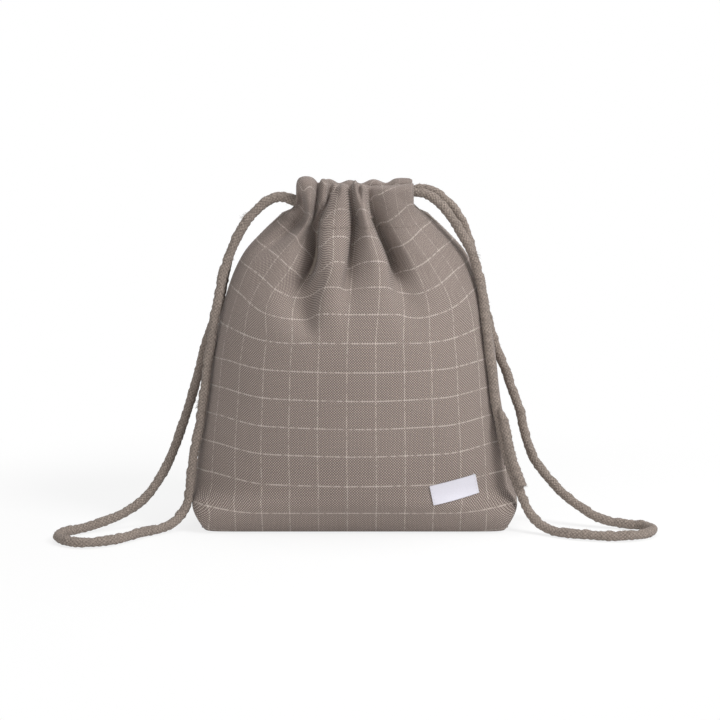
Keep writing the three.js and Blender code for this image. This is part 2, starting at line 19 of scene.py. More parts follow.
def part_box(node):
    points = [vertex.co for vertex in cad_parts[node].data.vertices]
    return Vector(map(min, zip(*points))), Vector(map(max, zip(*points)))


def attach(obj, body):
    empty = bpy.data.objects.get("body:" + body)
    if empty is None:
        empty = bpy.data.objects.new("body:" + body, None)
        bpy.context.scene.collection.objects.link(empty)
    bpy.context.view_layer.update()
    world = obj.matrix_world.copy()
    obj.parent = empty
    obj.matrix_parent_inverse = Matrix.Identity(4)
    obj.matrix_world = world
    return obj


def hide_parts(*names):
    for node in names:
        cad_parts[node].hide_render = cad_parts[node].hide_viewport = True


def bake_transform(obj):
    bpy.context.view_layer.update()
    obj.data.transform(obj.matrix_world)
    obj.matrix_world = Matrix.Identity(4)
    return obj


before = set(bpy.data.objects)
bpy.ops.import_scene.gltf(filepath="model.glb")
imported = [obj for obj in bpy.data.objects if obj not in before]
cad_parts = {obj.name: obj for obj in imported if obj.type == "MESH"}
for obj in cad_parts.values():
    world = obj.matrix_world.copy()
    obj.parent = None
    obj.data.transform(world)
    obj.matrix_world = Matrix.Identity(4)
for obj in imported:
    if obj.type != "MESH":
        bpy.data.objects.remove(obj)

LOG = logging.getLogger("pouch")
CLOTH_UV = "cloth"
CREASE_ANGLE = math.radians(60.0)
MERGE_DISTANCE = 0.00002
ROUNDING_LEVELS = 1
ANY_PHASE = 6.3

Point = tuple[float, float, float]
Colour = tuple[float, float, float, float]
Zone = tuple[float, float]
WHITE: Colour = (1.0, 1.0, 1.0, 1.0)


class Side(Enum):
    """One of two opposite sides; the value is its direction along an axis."""

    @property
    def word(self) -> str:
        """Name of the side, as the CAD nodes have it."""
        return self.name.lower()


class Face(Side):
    """Panel of the pouch that a piece belongs to; the value is its direction along Y."""

    FRONT = -1.0
    BACK = 1.0


class Hand(Side):
    """Side of the pouch, seen from the front; the value is its direction along X."""

    LEFT = -1.0
    RIGHT = 1.0


class Slot(Enum):
    """Material slots of the record."""

    OUTER_CLOTH = "outer_cloth"
    LINING_CLOTH = "lining_cloth"
    DRAWCORD = "drawcord"
    THREAD = "thread"
    LABEL = "label"


# ---------------------------------------------------------------------------------------------
# Curves and meshes


def ease(low: float, high: float, value: np.ndarray | float) -> np.ndarray:
    """Smooth step from 0 at low to 1 at high."""
    t = np.clip((np.asarray(value, float) - low) / (high - low), 0.0, 1.0)
    return t * t * (3.0 - 2.0 * t)


def through(knots: np.ndarray, values: np.ndarray, at: np.ndarray) -> np.ndarray:
    """Smooth values through knots, with slopes from the neighbouring knots.

    Args:
        knots: Rising places of the known values.
        values: Known value at each knot, or a row of values.
        at: Places to find a value for.

    Returns:
        The value at each place.
    """
    knots, values, at = (np.asarray(v, float) for v in (knots, values, at))
    order = np.arange(len(knots))
    low, high = np.maximum(order - 1, 0), np.minimum(order + 1, len(knots) - 1)
    gaps = knots[high] - knots[low]
    slopes = (values[high] - values[low]) / (gaps if values.ndim == 1 else gaps[:, None])
    i = np.clip(np.searchsorted(knots, at) - 1, 0, len(knots) - 2)
    span = knots[i + 1] - knots[i]
    t = np.clip((at - knots[i]) / span, 0.0, 1.0)
    if values.ndim > 1:
        t, span = t[..., None], span[..., None]
    return (
        (2 * t**3 - 3 * t**2 + 1) * values[i]
        + (t**3 - 2 * t**2 + t) * span * slopes[i]
        + (3 * t**2 - 2 * t**3) * values[i + 1]
        + (t**3 - t**2) * span * slopes[i + 1]
    )


def walked(points: np.ndarray) -> np.ndarray:
    """Length walked along a row of points, up to each of them."""
    steps = np.linalg.norm(np.diff(points, axis=0), axis=1)
    return np.concatenate([[0.0], np.cumsum(steps)])


def spaced(points: np.ndarray, at: np.ndarray) -> np.ndarray:
    """Points of a row of points at given lengths along it."""
    length = walked(points)
    return np.stack([np.interp(at, length, points[:, k]) for k in range(points.shape[1])], 1)


def smooth_route(points: Sequence[Point], step: float) -> np.ndarray:
    """Centripetal curve through points, as the CAD cords have it.

    Args:
        points: Places that the curve passes through.
        step: Distance between the points of the result.

    Returns:
        Evenly spaced points of the curve.
    """
    p = np.asarray(points, float)
    p = np.vstack([2 * p[0] - p[1], p, 2 * p[-1] - p[-2]])
    gaps = np.sqrt(np.linalg.norm(np.diff(p, axis=0), axis=1))
    t = np.linspace(0.0, 1.0, 24, endpoint=False)[:, None]
    parts = []
    for i in range(1, len(p) - 2):
        before, here, after = gaps[i - 1 : i + 2]
        leave = (p[i] - p[i - 1]) / before - (p[i + 1] - p[i - 1]) / (before + here)
        leave = (leave + (p[i + 1] - p[i]) / here) * here
        arrive = (p[i + 1] - p[i]) / here - (p[i + 2] - p[i]) / (here + after)
        arrive = (arrive + (p[i + 2] - p[i + 1]) / after) * here
        parts.append(
            (2 * t**3 - 3 * t**2 + 1) * p[i]
            + (t**3 - 2 * t**2 + t) * leave
            + (3 * t**2 - 2 * t**3) * p[i + 1]
            + (t**3 - t**2) * arrive
        )
    fine = np.vstack([*parts, p[-2:-1]])
    length = walked(fine)[-1]
    return spaced(fine, np.linspace(0.0, length, int(length / step) + 1))


def unit(rows: np.ndarray) -> np.ndarray:
    """Directions of length one, one a row."""
    return rows / np.linalg.norm(rows, axis=1)[:, None]


def select_only(piece: bpy.types.Object) -> None:
    """Makes a piece the only selected and the active object."""
    bpy.ops.object.select_all(action="DESELECT")
    piece.select_set(True)
    bpy.context.view_layer.objects.active = piece


def new_piece(
    name: str, points: np.ndarray, faces: np.ndarray, uvs: np.ndarray
) -> bpy.types.Object:
    """Makes a smooth-shaded mesh object.

    Args:
        name: Name of the piece.
        points: Places of its vertices, one row each.
        faces: Vertex numbers of its faces, one row each.
        uvs: Cloth or cord coordinates of every face corner, in the order of the faces.

    Returns:
        The object, linked into the scene at the origin.
    """
    mesh = bpy.data.meshes.new(name)
    mesh.from_pydata(points.tolist(), [], faces.tolist())
    layer = mesh.uv_layers.new(name=CLOTH_UV)
    layer.data.foreach_set("uv", np.asarray(uvs, np.float32).ravel())
    mesh.polygons.foreach_set("use_smooth", np.ones(len(mesh.polygons), bool))
    mesh.update()
    piece = bpy.data.objects.new(name, mesh)
    bpy.context.collection.objects.link(piece)
    return piece


def grid_faces(rows: int, columns: int, turned: bool) -> np.ndarray:
    """Four-sided faces of a grid of points.

    Args:
        rows: Rows of points.
        columns: Points in each row.
        turned: Whether the faces look the other way.

    Returns:
        Vertex numbers, one row a face.
    """
    r, c = np.meshgrid(np.arange(rows - 1), np.arange(columns - 1), indexing="ij")
    first = (r * columns + c).ravel()
    faces = np.stack([first, first + 1, first + columns + 1, first + columns], 1)
    return faces[:, ::-1] if turned else faces


def grid_piece(
    name: str, grid: np.ndarray, cloth: np.ndarray, turned: bool
) -> bpy.types.Object:
    """Makes a sheet from a grid of points with its cloth coordinates."""
    rows, columns = grid.shape[:2]
    faces = grid_faces(rows, columns, turned)
    return new_piece(name, grid.reshape(-1, 3), faces, cloth.reshape(-1, 2)[faces.ravel()])


def apply_modifiers(piece: bpy.types.Object) -> None:
    """Applies every modifier of a piece, in order."""
    select_only(piece)
    for name in [m.name for m in piece.modifiers]:
        bpy.ops.object.modifier_apply(modifier=name)


def thicken(piece: bpy.types.Object, thickness: float) -> None:
    """Rounds a sheet, whose faces look outwards, and gives it thickness on its inner side."""
    rounder = piece.modifiers.new("rounder", "SUBSURF")
    rounder.levels = rounder.render_levels = ROUNDING_LEVELS
    wall = piece.modifiers.new("wall", "SOLIDIFY")
    wall.thickness = thickness
    wall.offset = -1.0
    apply_modifiers(piece)
    bpy.ops.object.shade_smooth_by_angle(angle=CREASE_ANGLE)


def clean(piece: bpy.types.Object) -> None:
    """Merges the doubled points of a mesh."""
    select_only(piece)
    bpy.ops.object.mode_set(mode="EDIT")
    bpy.ops.mesh.select_all(action="SELECT")
    bpy.ops.mesh.remove_doubles(threshold=MERGE_DISTANCE)
    bpy.ops.object.mode_set(mode="OBJECT")


def dress(
    piece: bpy.types.Object, finish: bpy.types.Material, body: str, node: str
) -> bpy.types.Object:
    """Gives a piece its finish, puts it on its body, and hides the CAD node that it replaces.

    Args:
        piece: The piece.
        finish: Finish of all its faces.
        body: Body that the piece rides on.
        node: CAD node that it replaces.

    Returns:
        The same piece.
    """
    piece.data.materials.clear()
    piece.data.materials.append(finish)
    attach(piece, body)
    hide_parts(node)
    return piece


# ---------------------------------------------------------------------------------------------
# Finishes


def shade(red: int, green: int, blue: int) -> Colour:
    """A colour as it looks on screen, 0 to 255, as the linear colour that a shader takes."""

    def linear(part: float) -> float:
        """One part of the colour, made linear."""
        return part / 12.92 if part <= 0.04045 else ((part + 0.055) / 1.055) ** 2.4

    return (linear(red / 255), linear(green / 255), linear(blue / 255), 1.0)


class Signal:
    """A value in a material's nodes; arithmetic on it adds Math nodes."""

    def __init__(self, web: "NodeWeb", socket: bpy.types.NodeSocket) -> None:
        """Wraps an output socket of a web of nodes."""
        self.web = web
        self.socket = socket

    def _math(self, operation: str, *values: "Signal | float") -> "Signal":
        """Result of one Math node."""
        return self.web.out("ShaderNodeMath", {"operation": operation}, dict(enumerate(values)))

    def __add__(self, other: "Signal | float") -> "Signal":
        """Sum."""
        return self._math("ADD", self, other)

    def __radd__(self, other: float) -> "Signal":
        """Sum with a number on the left."""
        return self._math("ADD", other, self)

    def __sub__(self, other: "Signal | float") -> "Signal":
        """Difference."""
        return self._math("SUBTRACT", self, other)

    def __rsub__(self, other: float) -> "Signal":
        """Difference with a number on the left."""
        return self._math("SUBTRACT", other, self)

    def __mul__(self, other: "Signal | float") -> "Signal":
        """Product."""
        return self._math("MULTIPLY", self, other)

    def __rmul__(self, other: float) -> "Signal":
        """Product with a number on the left."""
        return self._math("MULTIPLY", other, self)

    def __truediv__(self, other: "Signal | float") -> "Signal":
        """Quotient."""
        return self._math("DIVIDE", self, other)

    def __rtruediv__(self, other: float) -> "Signal":
        """Quotient with a number on the left."""
        return self._math("DIVIDE", other, self)

    def __pow__(self, other: "Signal | float") -> "Signal":
        """Power."""
        return self._math("POWER", self, other)

    def __abs__(self) -> "Signal":
        """Size without sign."""
        return self._math("ABSOLUTE", self)

    def sine(self) -> "Signal":
        """Sine of the value in radians."""
        return self._math("SINE", self)

    def at_least(self, other: "Signal | float") -> "Signal":
        """The greater of the two values."""
        return self._math("MAXIMUM", self, other)

    def at_most(self, other: "Signal | float") -> "Signal":
        """The smaller of the two values."""
        return self._math("MINIMUM", self, other)

    def from_line(self, cell: float, place: float) -> "Signal":
        """Distance from the nearest of the lines that lie a cell apart, one of them at place."""
        return abs(self._math("PINGPONG", self - place, cell / 2))

    def step(self, low: float, high: float) -> "Signal":
        """Smooth step from 0 at low to 1 at high, or the other way round where low is higher."""
        limits = {0: self, 1: low, 2: high, 3: 0.0, 4: 1.0}
        if low > high:
            limits.update({1: high, 2: low, 3: 1.0, 4: 0.0})
        settings = {"interpolation_type": "SMOOTHSTEP"}
        return self.web.out("ShaderNodeMapRange", settings, limits)


class NodeWeb:
    """Nodes of one material or of the surroundings."""

    def __init__(self, owner: bpy.types.Material | bpy.types.World) -> None:
        """Starts with no nodes."""
        self.owner = owner
        owner.use_nodes = True
        self.tree = owner.node_tree
        self.tree.nodes.clear()

    @classmethod
    def material(cls, name: str) -> "NodeWeb":
        """Starts the nodes of a new material."""
        return cls(bpy.data.materials.new(name))

    def add(
        self, kind: str, settings: dict | None = None, sockets: dict | None = None
    ) -> bpy.types.Node:
        """Adds one node.

        Args:
            kind: Type name of the node.
            settings: Properties of the node, set first.
            sockets: A value, socket or signal for inputs, by name or number.

        Returns:
            The node.
        """
        node = self.tree.nodes.new(kind)
        for key, value in (settings or {}).items():
            setattr(node, key, value)
        for key, value in (sockets or {}).items():
            if isinstance(value, Signal):
                value = value.socket
            if isinstance(value, bpy.types.NodeSocket):
                self.tree.links.new(value, node.inputs[key])
            else:
                node.inputs[key].default_value = value
        return node

    def out(
        self,
        kind: str,
        settings: dict | None = None,
        sockets: dict | None = None,
        output: int | str = 0,
    ) -> Signal:
        """Adds one node and gives one of its outputs."""
        return Signal(self, self.add(kind, settings, sockets).outputs[output])

    def mixed(self, factor: Signal | float, first: object, second: object) -> Signal:
        """Colour between two colours."""
        sockets = {0: factor, 6: first, 7: second}
        return self.out("ShaderNodeMix", {"data_type": "RGBA"}, sockets, 2)

    def tinted(self, colour: Signal, value: Signal) -> Signal:
        """Colour made darker or lighter by a value."""
        grey = self.out("ShaderNodeCombineColor", None, {0: value, 1: value, 2: value})
        settings = {"data_type": "RGBA", "blend_type": "MULTIPLY"}
        return self.out("ShaderNodeMix", settings, {0: 1.0, 6: colour, 7: grey}, 2)

    def uv(self) -> tuple[Signal, Signal]:
        """The two coordinates along a cloth, cord or thread."""
        place = self.out("ShaderNodeUVMap", {"uv_map": CLOTH_UV})
        parts = self.add("ShaderNodeSeparateXYZ", None, {0: place})
        return Signal(self, parts.outputs[0]), Signal(self, parts.outputs[1])

    def noise(self, across: Signal | float, along: Signal | float, detail: float) -> Signal:
        """Soft noise between 0 and 1 over two coordinates, about one blot per unit."""
        place = self.out("ShaderNodeCombineXYZ", None, {0: across, 1: along, 2: 0.0})
        sockets = {"Vector": place, "Scale": 1.0, "Detail": detail}
        return self.out("ShaderNodeTexNoise", None, sockets)

    def spots(self, size: float, detail: float) -> Signal:
        """Soft noise between 0 and 1 in the object's own space, with blots of a size."""
        place = self.out("ShaderNodeTexCoord", None, None, "Object")
        sockets = {"Vector": place, "Scale": 1.0 / size, "Detail": detail}
        return self.out("ShaderNodeTexNoise", None, sockets)

    def relief(self, height: Signal, distance: float, strength: float) -> Signal:
        """Bumped normal from a height between 0 and 1."""
        sockets = {"Height": height, "Distance": distance, "Strength": strength}
        return self.out("ShaderNodeBump", None, sockets)

    def surface(self, sockets: dict) -> bpy.types.Material:
        """Ends the material with a principled surface."""
        shader = self.add("ShaderNodeBsdfPrincipled", None, sockets)
        self.add("ShaderNodeOutputMaterial", None, {"Surface": shader.outputs[0]})
        return self.owner


@dataclass(frozen=True)
class CheckedCloth:
    """Plain weave in taupe with a thin, pale, broken windowpane check."""

    name: str = "checked_cloth"
    pitch: float = 0.00069
    cell: float = 0.0152
    first_upright: float = -0.0036
    first_level: float = 0.0146
    line_width: float = 0.00062
    wander: float = 0.0004
    warp: Colour = shade(112, 99, 93)
    weft: Colour = shade(176, 163, 155)
    # Painted shade: the dark colour at the thread edges and between the threads.
    gap_shade: Colour = shade(70, 61, 56)
    line: Colour = shade(214, 203, 193)

    def material(self) -> bpy.types.Material:
        """Builds the finish.

        Returns:
            The material, which reads the cloth's own coordinates.
        """
        web = NodeWeb.material(self.name)
        across, along = web.uv()
        turn = math.pi / self.pitch
        # Threads wander a little and change in thickness along their length.
        sway = web.noise(along * 220.0, across * 700.0, 1.0) - 0.5
        rise = web.noise(across * 220.0, along * 700.0, 1.0) - 0.5
        warp = ((across + sway * self.wander) * turn).sine()
        weft = ((along + rise * self.wander) * turn).sine()
        crossing = warp * weft
        dome = abs(crossing) ** 0.6
        on_top = crossing.step(-0.12, 0.12)
        # Broken pale lines: the pale thread shows where it lies on top.
        upright = across.from_line(self.cell, self.first_upright)
        level = along.from_line(self.cell, self.first_level)
        upright = upright.step(self.line_width * 0.75, self.line_width * 0.35)
        level = level.step(self.line_width * 0.75, self.line_width * 0.35)
        broken = web.noise(across * 420.0, along * 420.0, 1.0).step(0.36, 0.54)
        pale = upright * on_top.at_least(0.12) + level * (1 - on_top).at_least(0.2)
        pale = (pale * (0.2 + 0.8 * broken)).at_most(1.0)
        # Uneven dye, slubs and wear.
        slub = web.noise(across * 1400.0, along * 60.0, 2.0) + web.noise(
            across * 60.0, along * 1400.0, 2.0
        )
        cloud = web.noise(across * 28.0, along * 28.0, 3.0)
        tone = 0.86 + 0.14 * slub + 0.12 * (cloud - 0.5)
        colour = web.mixed(on_top, self.warp, self.weft)
        # Painted shade: the thread edges and the gaps between the threads are darkened towards the
        # dark gap colour.
        colour = web.mixed(dome.step(0.55, 0.05) * 0.75, colour, self.gap_shade)
        colour = web.tinted(colour, tone)
        colour = web.mixed(pale * 0.66, colour, self.line)
        height = dome + 0.25 * slub + 0.5 * pale
        return web.surface(
            {
                "Base Color": colour,
                "Roughness": 0.86 + 0.12 * (1 - dome),
                "Normal": web.relief(height, 0.00022, 0.55),
                "Specular IOR Level": 0.18,
                "Sheen Weight": 0.12,
                "Sheen Roughness": 0.5,
            }
        )


@dataclass(frozen=True)
class LiningCloth:
    """Plain cotton lining, finer and paler than the outer cloth."""

    name: str = "lining_cotton"
    pitch: float = 0.0005
    thread: Colour = shade(166, 154, 143)
    # Painted shade: the dark colour between the threads.
    gap_shade: Colour = shade(112, 101, 92)

    def material(self) -> bpy.types.Material:
        """Builds the finish, which reads the cloth's own coordinates."""
        web = NodeWeb.material(self.name)
        across, along = web.uv()
        turn = math.pi / self.pitch
        dome = abs((across * turn).sine() * (along * turn).sine()) ** 0.6
        slub = web.noise(across * 1500.0, along * 80.0, 2.0)
        # Painted shade: the gaps between the threads are darkened.
        colour = web.mixed(dome.step(0.5, 0.05) * 0.6, self.thread, self.gap_shade)
        colour = web.tinted(colour, 0.82 + 0.3 * slub)
        return web.surface(
            {
                "Base Color": colour,
                "Roughness": 0.8 + 0.15 * (1 - dome),
                "Normal": web.relief(dome + 0.3 * slub, 0.00015, 0.5),
                "Specular IOR Level": 0.2,
            }
        )


@dataclass(frozen=True)
class BraidedCotton:
    """Soft round braid of cotton yarn with a fuzzy surface."""

    name: str = "braided_cotton"
    strands: float = 8.0
    cell: float = 0.0021
    yarn: Colour = shade(146, 134, 125)
    # Painted shade: the dark colour in the grooves between the yarns.
    groove: Colour = shade(72, 63, 57)

    def material(self) -> bpy.types.Material:
        """Builds the finish, which reads the turn round the cord and the length along it."""
        web = NodeWeb.material(self.name)
        turn, along = web.uv()
        stray = web.noise(turn * 9.0, along * 300.0, 2.0) - 0.5
        lead = turn * self.strands + stray * 0.7
        rise = along / self.cell + stray * 0.5
        weave = ((lead + rise) * math.pi).sine() * ((lead - rise) * math.pi).sine()
        dome = abs(weave) ** 0.5
        fibre = web.noise(turn * 60.0 + along * 2200.0, along * 700.0, 3.0)
        cloud = web.spots(0.02, 2.0)
        blot = web.noise(turn * 6.0, along * 480.0, 2.0).step(0.3, 0.7)
        speck = web.noise(turn * 15.0, along * 1100.0, 2.0).step(0.3, 0.7)
        # Painted shade: the grooves between the yarns are darkened, more so in random blots.
        colour = web.mixed(dome.step(0.75, 0.05) * (0.25 + 0.6 * blot), self.yarn, self.groove)
        colour = web.tinted(colour, 0.46 + 0.3 * fibre + 0.2 * cloud + 0.28 * blot + 0.34 * speck)
        return web.surface(
            {
                "Base Color": colour,
                "Roughness": 0.9 + 0.1 * fibre,
                "Normal": web.relief(dome * 0.4 + fibre * 0.5 + speck * 0.6, 0.0005, 0.8),
                "Specular IOR Level": 0.12,
                "Sheen Weight": 0.12,
                "Sheen Roughness": 0.6,
            }
        )


@dataclass(frozen=True)
class SewingThread:
    """Two-ply sewing thread with a slight lustre."""

    name: str
    colour: Colour
    # Painted shade: the dark colour in the groove between the plies.
    valley: Colour

    def material(self) -> bpy.types.Material:
        """Builds the finish, which reads each stitch's own coordinates."""
        web = NodeWeb.material(self.name)
        turn, along = web.uv()
        ply = ((turn * 2.0 + along * 7.0) * (2 * math.pi)).sine() * 0.5 + 0.5
        fibre = web.spots(0.0004, 2.0)
        # Painted shade: the groove between the plies is darkened.
        colour = web.mixed(ply, self.valley, self.colour)
        colour = web.tinted(colour, 0.8 + 0.4 * fibre)
        return web.surface(
            {
                "Base Color": colour,
                "Roughness": 0.55 + 0.25 * (1 - ply),
                "Normal": web.relief(ply, 0.00008, 0.6),
                "Specular IOR Level": 0.3,
            }
        )


@dataclass(frozen=True)
class WovenLabel:
    """White damask label: fine satin ribs and closely woven edges."""

    name: str = "label_satin"
    rib: float = 0.00034
    white: Colour = shade(226, 224, 233)
    shadow: Colour = shade(184, 181, 192)
    half_height: float = 0.00575

    def material(self) -> bpy.types.Material:
        """Builds the finish, which reads the label's own coordinates in metres."""
        web = NodeWeb.material(self.name)
        along, up = web.uv()
        rib = abs((up * (math.pi / self.rib)).sine())
        float_yarn = web.noise(along * 700.0, up * 4000.0, 2.0)
        edge = abs(up).step(self.half_height - 0.0009, self.half_height - 0.0004)
        colour = web.mixed((1 - rib) * 0.55 + edge * 0.15, self.white, self.shadow)
        colour = web.tinted(colour, 0.9 + 0.16 * float_yarn)
        return web.surface(
            {
                "Base Color": colour,
                "Roughness": 0.48 + 0.2 * float_yarn + 0.15 * edge,
                "Normal": web.relief(rib + 0.6 * float_yarn + edge, 0.00008, 0.6),
                "Specular IOR Level": 0.35,
            }
        )


@dataclass(frozen=True)
class StudioFloor:
    """Seamless white floor that stays white to the camera and keeps a soft shadow."""

    name: str = "white_floor"
    white: Colour = (0.92, 0.92, 0.92, 1.0)
    glow_share: float = 0.8
    shadow_reach: float = 0.34

    def material(self) -> bpy.types.Material:
        """Builds the finish: part of what the camera sees is plain white."""
        web = NodeWeb.material(self.name)
        path = web.add("ShaderNodeLightPath")
        seen = Signal(web, path.outputs["Is Camera Ray"])
        for ray in ("Is Glossy Ray", "Is Transmission Ray"):
            seen = seen.at_least(Signal(web, path.outputs[ray]))
        matt = web.add("ShaderNodeBsdfDiffuse", None, {"Color": self.white})
        plain = web.add("ShaderNodeEmission", None, {"Color": WHITE, "Strength": 1.0})
        place = web.out("ShaderNodeTexCoord", None, None, "Object")
        away = web.out("ShaderNodeVectorMath", {"operation": "LENGTH"}, {0: place}, "Value")
        far = away.step(self.shadow_reach * 0.5, self.shadow_reach)
        share = self.glow_share + (1.0 - self.glow_share) * far
        mix = {0: seen * share, 1: matt.outputs[0], 2: plain.outputs[0]}
        floor = web.add("ShaderNodeMixShader", None, mix)
        web.add("ShaderNodeOutputMaterial", None, {"Surface": floor.outputs[0]})
        return web.owner


# ---------------------------------------------------------------------------------------------
# Studio


@dataclass(frozen=True)
class Lamp:
    """A soft square lamp that looks at the pouch."""

    name: str
    place: Point
    power: float
    size: float


@dataclass
class Studio:
    """White floor, soft lamps and the camera of the photograph's view."""

    aim: Point = (0.0027, 0.0, 0.0908)
    distance: float = 0.93
    elevation: float = 8.0
    lens: float = 85.0
    sensor: float = 36.0
    floor_size: float = 8.0
    floor_level: float = -0.0002
    ambient: float = 0.34
    lamps: tuple[Lamp, ...] = (
        Lamp("key_lamp", (0.85, -0.60, 0.95), 12.0, 0.45),
        Lamp("fill_lamp", (-0.35, -1.10, 0.45), 2.8, 0.8),
        Lamp("top_lamp", (0.1, 0.0, 1.2), 4.4, 0.6),
    )

    def camera(self) -> bpy.types.Object:
        """Sets the camera in front of the pouch, a little above it."""
        data = bpy.data.cameras.new("camera")
        data.lens, data.sensor_width = self.lens, self.sensor
        camera = bpy.data.objects.new("camera", data)
        bpy.context.collection.objects.link(camera)
        tilt = math.radians(self.elevation)
        away = Vector((0.0, -math.cos(tilt), math.sin(tilt)))
        camera.location = Vector(self.aim) + away * self.distance
        camera.rotation_euler = (-away).to_track_quat("-Z", "Y").to_euler()
        bpy.context.scene.camera = camera
        return camera

    def floor(self) -> bpy.types.Object:
        """Lays the white floor under the pouch."""
        bpy.ops.object.select_all(action="DESELECT")
        place = (0.0, 0.0, self.floor_level)
        bpy.ops.mesh.primitive_plane_add(size=self.floor_size, location=place)
        floor = bpy.context.object
        floor.name = "floor"
        floor.data.materials.append(StudioFloor().material())
        return floor

    def light(self) -> None:
        """Places the lamps and a white surrounding."""
        for lamp in self.lamps:
            data = bpy.data.lights.new(lamp.name, "AREA")
            data.energy, data.size = lamp.power, lamp.size
            light = bpy.data.objects.new(lamp.name, data)
            bpy.context.collection.objects.link(light)
            light.location = lamp.place
            look = Vector(self.aim) - Vector(lamp.place)
            light.rotation_euler = look.to_track_quat("-Z", "Y").to_euler()
        world = bpy.data.worlds.new("white_room")
        bpy.context.scene.world = world
        web = NodeWeb(world)
        seen = web.out("ShaderNodeLightPath", None, None, "Is Camera Ray")
        soft = web.add("ShaderNodeBackground", None, {"Color": WHITE, "Strength": self.ambient})
        plain = web.add("ShaderNodeBackground", None, {"Color": WHITE, "Strength": 1.0})
        mix = {0: seen, 1: soft.outputs[0], 2: plain.outputs[0]}
        room = web.add("ShaderNodeMixShader", None, mix)
        web.add("ShaderNodeOutputWorld", None, {"Surface": room.outputs[0]})
        bpy.context.scene.view_settings.view_transform = "Standard"


# ---------------------------------------------------------------------------------------------
# Drawcords


def rings(line: np.ndarray, sides: int) -> tuple[np.ndarray, np.ndarray]:
    """Directions along a line and out from it.

    Args:
        line: Points of the line.
        sides: Directions round each point.

    Returns:
        The direction ahead at each point, and the directions out from it, points by sides.
    """
    ahead = unit(np.gradient(line, axis=0))
    side = np.cross(ahead[0], (0.0, 0.0, 1.0))
    if np.linalg.norm(side) < 0.1:
        side = np.cross(ahead[0], (0.0, 1.0, 0.0))
    sides_at = np.empty_like(line)
    for i, direction in enumerate(ahead):
        side = side - direction * np.dot(side, direction)
        side /= np.linalg.norm(side)
        sides_at[i] = side
    ups = np.cross(ahead, sides_at)
    angle = np.linspace(0.0, 2 * math.pi, sides, endpoint=False)
    out = (
        sides_at[:, None, :] * np.cos(angle)[None, :, None]
        + ups[:, None, :] * np.sin(angle)[None, :, None]
    )
    return ahead, out


def tube(
    name: str, line: np.ndarray, radius: np.ndarray, sides: int
) -> bpy.types.Object:
    """Makes a closed tube along a line.

    Args:
        name: Name of the piece.
        line: Centres of the rings.
        radius: Radius at each ring and side, rings by sides.
        sides: Points of a ring.

    Returns:
        The tube, with the turn round it and the length along it as coordinates.
    """
    points = line[:, None, :] + rings(line, sides)[1] * radius[:, :, None]
    r, s = np.meshgrid(np.arange(len(line) - 1), np.arange(sides), indexing="ij")
    r, s = r.ravel(), s.ravel()
    following = (s + 1) % sides
    faces = np.stack(
        [r * sides + s, r * sides + following, (r + 1) * sides + following, (r + 1) * sides + s], 1
    )
    length = walked(line)
    uvs = np.stack(
        [
            np.stack([s / sides, length[r]], 1),
            np.stack([(s + 1) / sides, length[r]], 1),
            np.stack([(s + 1) / sides, length[r + 1]], 1),
            np.stack([s / sides, length[r + 1]], 1),
        ],
        1,
    )
    piece = new_piece(name, points.reshape(-1, 3), faces, uvs)
    close_ends(piece)
    return piece


def close_ends(piece: bpy.types.Object) -> None:
    """Closes the open rings of a tube."""
    select_only(piece)
    bpy.ops.object.mode_set(mode="EDIT")
    bpy.ops.mesh.select_all(action="DESELECT")
    bpy.ops.mesh.select_mode(type="VERT")
    bpy.ops.mesh.select_non_manifold()
    bpy.ops.mesh.edge_face_add()
    bpy.ops.mesh.select_all(action="SELECT")
    bpy.ops.mesh.normals_make_consistent(inside=False)
    bpy.ops.object.mode_set(mode="OBJECT")


SPIKE_FACES = np.array([
    (0, 1, 4), (0, 4, 3), (1, 2, 5), (1, 5, 4), (2, 0, 3), (2, 3, 5),
    (3, 4, 6), (4, 5, 6), (5, 3, 6),
])


